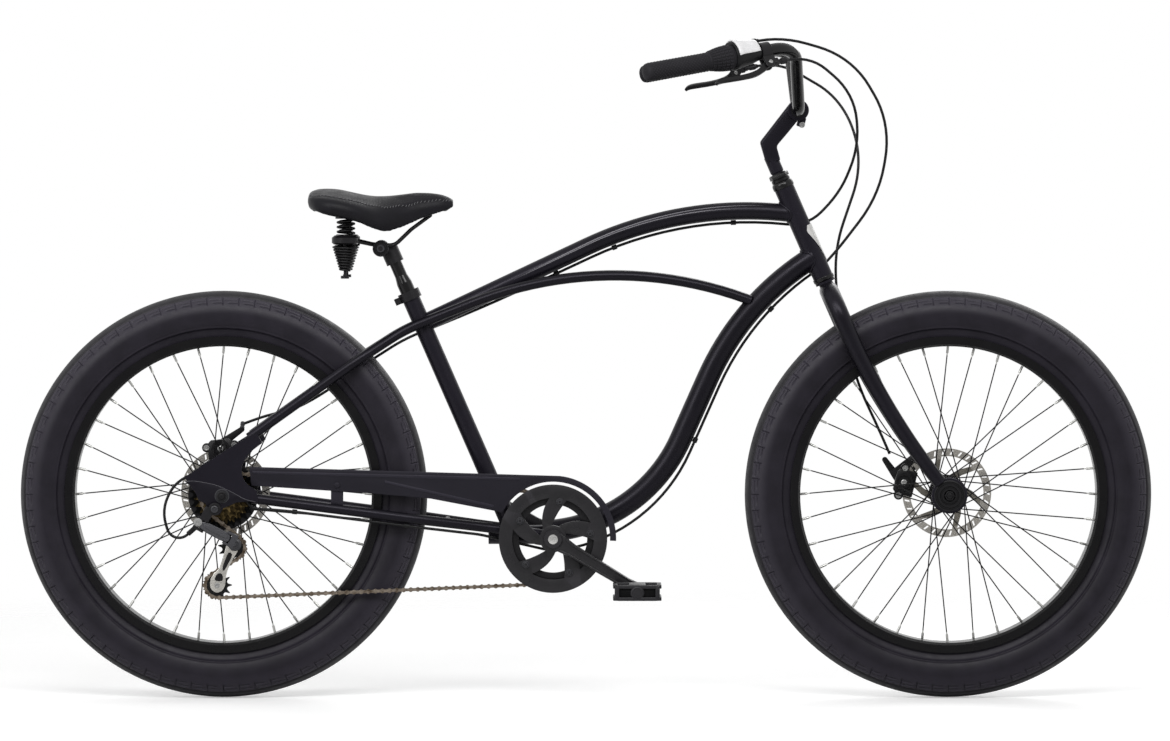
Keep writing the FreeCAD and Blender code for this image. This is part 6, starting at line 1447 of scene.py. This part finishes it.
GUIDE, TENSION = pivot("guide_pulley_spin"), pivot("tension_pulley_spin")
CAGE_RUN = TENSION - GUIDE
CAGE_SHAPE = ((-11, -6), (-12, 3), (-8, 10), (4, 11), (20, 8.6), (38, 7), (54, 9), (68, 13), (80, 11),
              (86, 2), (82, -9), (70, -14.5), (57, -14), (45, -9), (32, -8.6), (14, -10.4), (-3, -11))
CAGE_SLOT = ((12, -3.4), (24, -4), (36, -3.6), (44, -1), (42, 2), (28, 4), (14, 4.6), (10, 1))
CAGE_WINDOW = ((54, -7.4), (64, -8.6), (66, -3), (62, 5), (54, 3), (50.5, -2))


def cage():
    """Two cage plates: a plated outer one whose hollows are black sheets (painted shade, with the black
    behind) and a black inner one, with bolts and pivot.
    """
    place = axes_at(GUIDE, CAGE_RUN, CAGE_RUN.cross(SIDE) * -1)
    outer = bmesh.new()
    prism(outer, smooth_outline(CAGE_SHAPE), 5.5, 7.2, place, 0.7)
    finished("cage_outer_plate", outer, "cage", cage_plating, "bright_steel", "derailleur_cage")
    dark = bmesh.new()
    # Black sheets for the hollows of the outer plate: painted shade, with the black inner plate behind.
    for hollow in (CAGE_SLOT, CAGE_WINDOW):
        prism(dark, smooth_outline(hollow), 6.4, 7.5, place, 0.3)
    prism(dark, smooth_outline([(x, y * 0.8) for x, y in CAGE_SHAPE]), -7.0, -5.5, place, 0.4)
    pivot_at = mm(-627, -66, 278.5)
    turned(dark, [(0, -9.0), (9, -9.0), (9, 3.0), (8, 4.0), (0, 4.0)], pivot_at, LEFT, 32)
    finished("cage_dark_parts", dark, "cage", black_coat, "black_metal", "derailleur_cage")
    bolts = bmesh.new()
    for spot in (GUIDE, TENSION):
        turned(bolts, [(0, -6), (3, -6), (3, 7), (0, 7)], spot, SIDE, 16)
        socket_bolt(bolts, spot + SIDE * 7 * MM, SIDE, 4.6, 2.0)
    finished("cage_bolts", bolts, "cage", bolt_steel, "bright_steel", "derailleur_cage")


cage_plating = metal("cage_plating", (0.52, 0.505, 0.47), 0.3, (60.0, 60.0, 900.0))
cage()


# cable anchor

ANCHOR_REACH = 4.2
ANCHOR_FOOT = 3.0
ARM_TIP, CABLE_END = 4 * MM, 5.2 * MM


def middle_of(points):
    """The mean of some points."""
    return sum(points, Vector()) / len(points)


def cable_anchor(name, arm, cable, body):
    """Anchor post on the tip of a caliper's arm, which holds the cable's end."""
    points = [vertex.co for vertex in NODES[arm].data.vertices]
    top = max(point.z for point in points)
    tip = middle_of([point for point in points if point.z > top - ARM_TIP])
    ends = [vertex.co for vertex in NODES[cable].data.vertices]
    nearest = min(ends, key=lambda point: (point - tip).length)
    end = middle_of([point for point in ends if (point - nearest).length < CABLE_END])
    way = (end - tip).normalized()
    length = (end - tip).length / MM + ANCHOR_FOOT
    work = bmesh.new()
    turned(work, [(0, 0), (4.4, 0), (4.4, ANCHOR_FOOT + 1), (3.4, ANCHOR_FOOT + 2), (3.4, length - 3.4),
                  (4.2, length - 2.6), (4.2, length + ANCHOR_REACH - 1), (3.2, length + ANCHOR_REACH),
                  (0, length + ANCHOR_REACH)], tip - way * ANCHOR_FOOT * MM, way, 24)
    finished(name, work, body, grey_coat, "black_metal")


cable_anchor("rear_cable_anchor", "rear_caliper_arm", "control_cables", "rear_arm")


# saddle clamp

SADDLE_CLAMP = Vector((-0.3676, 0.0, 0.8061))
CLAMP_HALF = 30.0
CLAMP_TEETH, TOOTH_CIRCLE = 20, 12.7


def clamp_trim():
    """Toothed rings on both ends of the saddle clamp's drum, with a socket bolt in each."""
    rings = bmesh.new()
    for sign in (-1, 1):
        way = Vector((0, sign, 0))
        base = SADDLE_CLAMP + mm(0, sign * (CLAMP_HALF - 0.4), 0)
        turned(rings, [(0, 0), (14.4, 0), (14.6, 1.0), (14.0, 2.2), (11.6, 2.2), (11.0, 1.4), (0, 1.4)], base,
               way, 48)
        for number in range(CLAMP_TEETH):
            turn = math.tau * number / CLAMP_TEETH
            tooth = base + mm(TOOTH_CIRCLE * math.cos(turn), sign * 1.6, TOOTH_CIRCLE * math.sin(turn))
            turned(rings, [(0, 0), (1.2, 0), (0.8, 1.4), (0, 1.4)], tooth, way, 8)
    finished("saddle_clamp_rings", rings, "post", black_coat, "black_metal")
    bolts = bmesh.new()
    socket_bolt(bolts, SADDLE_CLAMP + mm(0, -CLAMP_HALF + 0.4, 0), SIDE, 7.4, 6.4)
    socket_bolt(bolts, SADDLE_CLAMP + mm(0, CLAMP_HALF - 0.4, 0), -SIDE, 7.4, 5.0)
    finished("saddle_clamp_bolts", bolts, "post", grey_coat, "black_metal")


clamp_trim()


# trim of the frame

PLATE_FOOT, PLATE_LENGTH = 474, 70
PLATE_RADII = (18.1, 19.2)
TUBE_STEP = 0.006


def head_plate():
    """Blank shield on the front of the head tube."""
    work = bmesh.new()
    ahead = LEFT.cross(STEER_UP)
    rows, columns = 16, 12
    layers = []
    for radius in PLATE_RADII:
        grid = []
        for row in range(rows + 1):
            share = row / rows
            spread = 12 + 74 * share ** 1.2 - 30 * max(0.0, share - 0.85) / 0.15
            line = []
            for number in range(columns + 1):
                turn = math.radians(spread * (2 * number / columns - 1))
                out = ahead * math.cos(turn) + LEFT * math.sin(turn)
                line.append(work.verts.new(on_steerer(PLATE_FOOT + PLATE_LENGTH * share) + out * radius * MM))
            grid.append(line)
        layers.append(grid)
    inner, outer = layers
    for grid in layers:
        for first, second in zip(grid, grid[1:]):
            for number in range(columns):
                work.faces.new((first[number], first[number + 1], second[number + 1], second[number]))
    border = [(row, 0) for row in range(rows)] + [(rows, number) for number in range(columns)]
    border += [(row, columns) for row in range(rows, 0, -1)]
    border += [(0, number) for number in range(columns, 0, -1)]
    for (row, number), (next_row, next_number) in zip(border, border[1:] + border[:1]):
        work.faces.new((inner[row][number], outer[row][number], outer[next_row][next_number],
                        inner[next_row][next_number]))
    finished("head_plate", work, "frame", bright_steel, "bright_steel")


head_plate()


def tube_line(start, corner, end, radius):
    """Points and directions along a tube with one round bend, every few millimetres."""
    first, second = (corner - start).normalized(), (end - corner).normalized()
    turn = first.angle(second)
    reach = radius * math.tan(turn / 2)
    begin, finish = corner - first * reach, corner + second * reach
    inward = (second - first * first.dot(second)).normalized()
    centre = begin + inward * radius
    line = []
    straight = (begin - start).length
    for number in range(int(straight / TUBE_STEP)):
        line.append((start + first * TUBE_STEP * number, first))
    steps = max(8, int(radius * turn / TUBE_STEP))
    for number in range(steps + 1):
        angle = turn * number / steps
        line.append((centre - inward * radius * math.cos(angle) + first * radius * math.sin(angle),
                     first * math.cos(angle) + inward * math.sin(angle)))
    for number in range(1, int((end - finish).length / TUBE_STEP)):
        line.append((finish + second * TUBE_STEP * number, second))
    return line


TOP_TUBE_HEAD, TOP_TUBE_CORNER = mm(375.7, 0, 868.0), mm(172.7, 0, 889.5)
TOP_TUBE = tube_line(TOP_TUBE_HEAD, TOP_TUBE_CORNER, mm(-293.9, 0, 670.1), 0.675)
TOP_TUBE_RADIUS = 15.9
STRIPE_FOOT, STRIPE_TOP = TOP_TUBE_RADIUS - 0.6, TOP_TUBE_RADIUS + 0.4
STRIPES = ((38.0, 14.0, 0.08, 0.72, 0.75), (16.0, 9.0, 0.14, 0.76, 0.6))


def pinstripes():
    """Fine grey lines that taper out along both sides of the top tube."""
    stripe_paint = paint("stripe_paint", (0.15, 0.146, 0.16), 0.4, 0.2, 1.2)
    for side_name, side in SIDES:
        work = bmesh.new()
        for first_angle, last_angle, begin, end, half in STRIPES:
            run = TOP_TUBE[int(begin * len(TOP_TUBE)):int(end * len(TOP_TUBE))]
            rows = []
            for number, (spot, way) in enumerate(run):
                share = number / (len(run) - 1)
                wide = half * min(1.0, 6 * share, 6 * (1 - share)) + 0.02
                lift = Vector((0, side, 0)).cross(way) * -side
                lift = lift if lift.z > 0 else -lift
                ring = []
                angle = first_angle + (last_angle - first_angle) * share
                for radius, offset in ((STRIPE_FOOT, -wide), (STRIPE_TOP, -wide), (STRIPE_TOP, wide),
                                       (STRIPE_FOOT, wide)):
                    turn = math.radians(angle) + offset / TOP_TUBE_RADIUS
                    out = Vector((0, side, 0)) * math.cos(turn) + lift * math.sin(turn)
                    ring.append(work.verts.new(spot + out * radius * MM))
                rows.append(ring)
            join_rows(work, rows)
            work.faces.new(rows[0])
            work.faces.new(list(reversed(rows[-1])))
        finished(f"{side_name}_pinstripes", work, "frame", stripe_paint, "frame_paint")


pinstripes()


RIPPLE_RUN, RIPPLE = 2.2, 0.12
WELD_BACK, WELD_RADIUS = 0.06, 2.3 * MM


def weld(name, onto, end, start, radius):
    """Rippled bead where the end of a round tube meets another piece."""
    tree = tree_of(NODES[onto].data)
    way = (end - start).normalized()
    count = max(24, int(2 * math.pi * radius / RIPPLE_RUN) // 2 * 2)
    places = []
    for out in directions_round(way, count):
        spot, _, _, _ = tree.ray_cast(end - way * WELD_BACK + out * (radius + 0.4) * MM, way)
        if spot is not None:
            places.append(spot)
    piece(name, cord_mesh(name, places, WELD_RADIUS, RIPPLE), "frame", frame_paint)


weld("top_tube_weld", "head_tube", TOP_TUBE_HEAD, TOP_TUBE_CORNER, TOP_TUBE_RADIUS)
weld("down_tube_weld", "head_tube", mm(408.9, 0, 791.9), mm(276.3, 0, 702.9), 20.0)
weld("bracket_weld", "bottom_bracket_shell", mm(-59, 0, 299), mm(106.6, 0, 321.3), 20.0)


# studio

PLAIN_LEVEL = 0.42
WALL_SHADE = 0.5
WALL_FACING = (0.5, 0.95)
FLOOR_WHITE, FLOOR_DULL = (0.86, 0.86, 0.86), (0.3, 0.3, 0.3, 1.0)
FLOOR_GLOW = 0.3
FLOOR_FADE = (1.3, 3.2)


def studio_world():
    """Pale room that shows in gloss, with a shaded wall facing the drive side; less of it is plain light."""
    world = bpy.data.worlds.new("studio")
    bpy.context.scene.world = world
    world.use_nodes = True
    tree = Nodes(world.node_tree)
    room = tree.nodes["Background"]
    room.inputs["Color"].default_value = (1.0, 1.0, 1.0, 1.0)
    path = tree.nodes.new("ShaderNodeLightPath").outputs
    seen = tree.math("MAXIMUM", path["Is Camera Ray"], path["Is Glossy Ray"])
    seen = tree.math("MAXIMUM", seen, path["Is Transmission Ray"])
    level = tree.spread(seen, PLAIN_LEVEL, 1.0, 0.0, 1.0)
    way = tree.add("TexCoord", {}, "Generated")
    facing = tree.add("VectorMath", {0: way, 1: SIDE}, "Value", operation="DOT_PRODUCT")
    shaded = tree.spread(facing, 0.0, WALL_SHADE, *WALL_FACING, interpolation_type="SMOOTHSTEP")
    strength = tree.math("SUBTRACT", level, tree.math("MULTIPLY", path["Is Glossy Ray"], shaded))
    tree.links.new(strength, room.inputs["Strength"])


def floor_finish():
    """White floor that keeps soft shadows and fades into the room."""
    floor = Finish("studio_floor", FLOOR_WHITE, 0.5, specular=0.25)
    path = floor.nodes.new("ShaderNodeLightPath").outputs
    level = floor.math("MULTIPLY", path["Is Camera Ray"], FLOOR_GLOW)
    glow = floor.add("Emission", {"Strength": level})
    added = floor.add("AddShader", {0: floor.shader.outputs[0], 1: glow})
    away = floor.add("VectorMath", {0: floor.spot}, "Value", operation="LENGTH")
    fade = floor.spread(away, 0.0, 1.0, *FLOOR_FADE, interpolation_type="SMOOTHSTEP")
    dull = floor.add("BsdfDiffuse", {"Color": FLOOR_DULL})
    thrown = floor.add("MixShader", {0: path["Is Diffuse Ray"], 1: added, 2: dull})
    clear = floor.add("BsdfTransparent", {})
    mixed = floor.add("MixShader", {0: fade, 1: thrown, 2: clear})
    floor.links.new(mixed, floor.nodes["Material Output"].inputs["Surface"])
    return floor.material


def studio_floor():
    """Round floor under the wheels."""
    work = bmesh.new()
    bmesh.ops.create_circle(work, cap_ends=True, segments=96, radius=4.0)
    mesh = saved(work, bpy.data.meshes.new("studio_floor"))
    mesh.materials.append(floor_finish())
    ground = bpy.data.objects.new("studio_floor", mesh)
    ground.location = (0, 0, -0.0004)
    bpy.context.scene.collection.objects.link(ground)


def softbox(name, place, target, width, depth, power):
    """Large soft lamp aimed at a point."""
    lamp = bpy.data.lights.new(name, "AREA")
    lamp.shape = "RECTANGLE"
    lamp.size = width
    lamp.size_y = depth
    lamp.energy = power
    holder = bpy.data.objects.new(name, lamp)
    holder.location = place
    holder.rotation_euler = (Vector(target) - Vector(place)).to_track_quat("-Z", "Y").to_euler()
    bpy.context.scene.collection.objects.link(holder)


IMAGE = (1170, 741)
MILLIMETRES_PER_PIXEL = 1.795
CAMERA_AWAY = 14.0
CAMERA_HEIGHT = 1.05
SENSOR = 36.0
MIDDLE = Vector((-0.0018, 0, 0.5868))


def camera():
    """Long lens at the drive side, a little above the hubs."""
    lens = bpy.data.cameras.new("view")
    lens.sensor_width = SENSOR
    width = IMAGE[0] * MILLIMETRES_PER_PIXEL * MM
    holder = bpy.data.objects.new("view", lens)
    holder.location = (MIDDLE.x, -CAMERA_AWAY, CAMERA_HEIGHT)
    way = MIDDLE - holder.location
    lens.lens = SENSOR * way.length / width
    holder.rotation_euler = way.to_track_quat("-Z", "Y").to_euler()
    bpy.context.scene.collection.objects.link(holder)
    bpy.context.scene.camera = holder


studio_world()
studio_floor()
softbox("top_light", (0.0, -3.2, 3.0), (0, 0, 0.5), 3.8, 1.2, 104)
softbox("side_light", (-2.8, -3.2, 2.0), (-0.2, 0, 0.6), 1.6, 1.6, 40)
softbox("back_light", (1.5, 3.0, 2.4), (0, 0, 0.6), 2.4, 1.4, 30)
camera()
bpy.context.scene.view_settings.view_transform = "Standard"
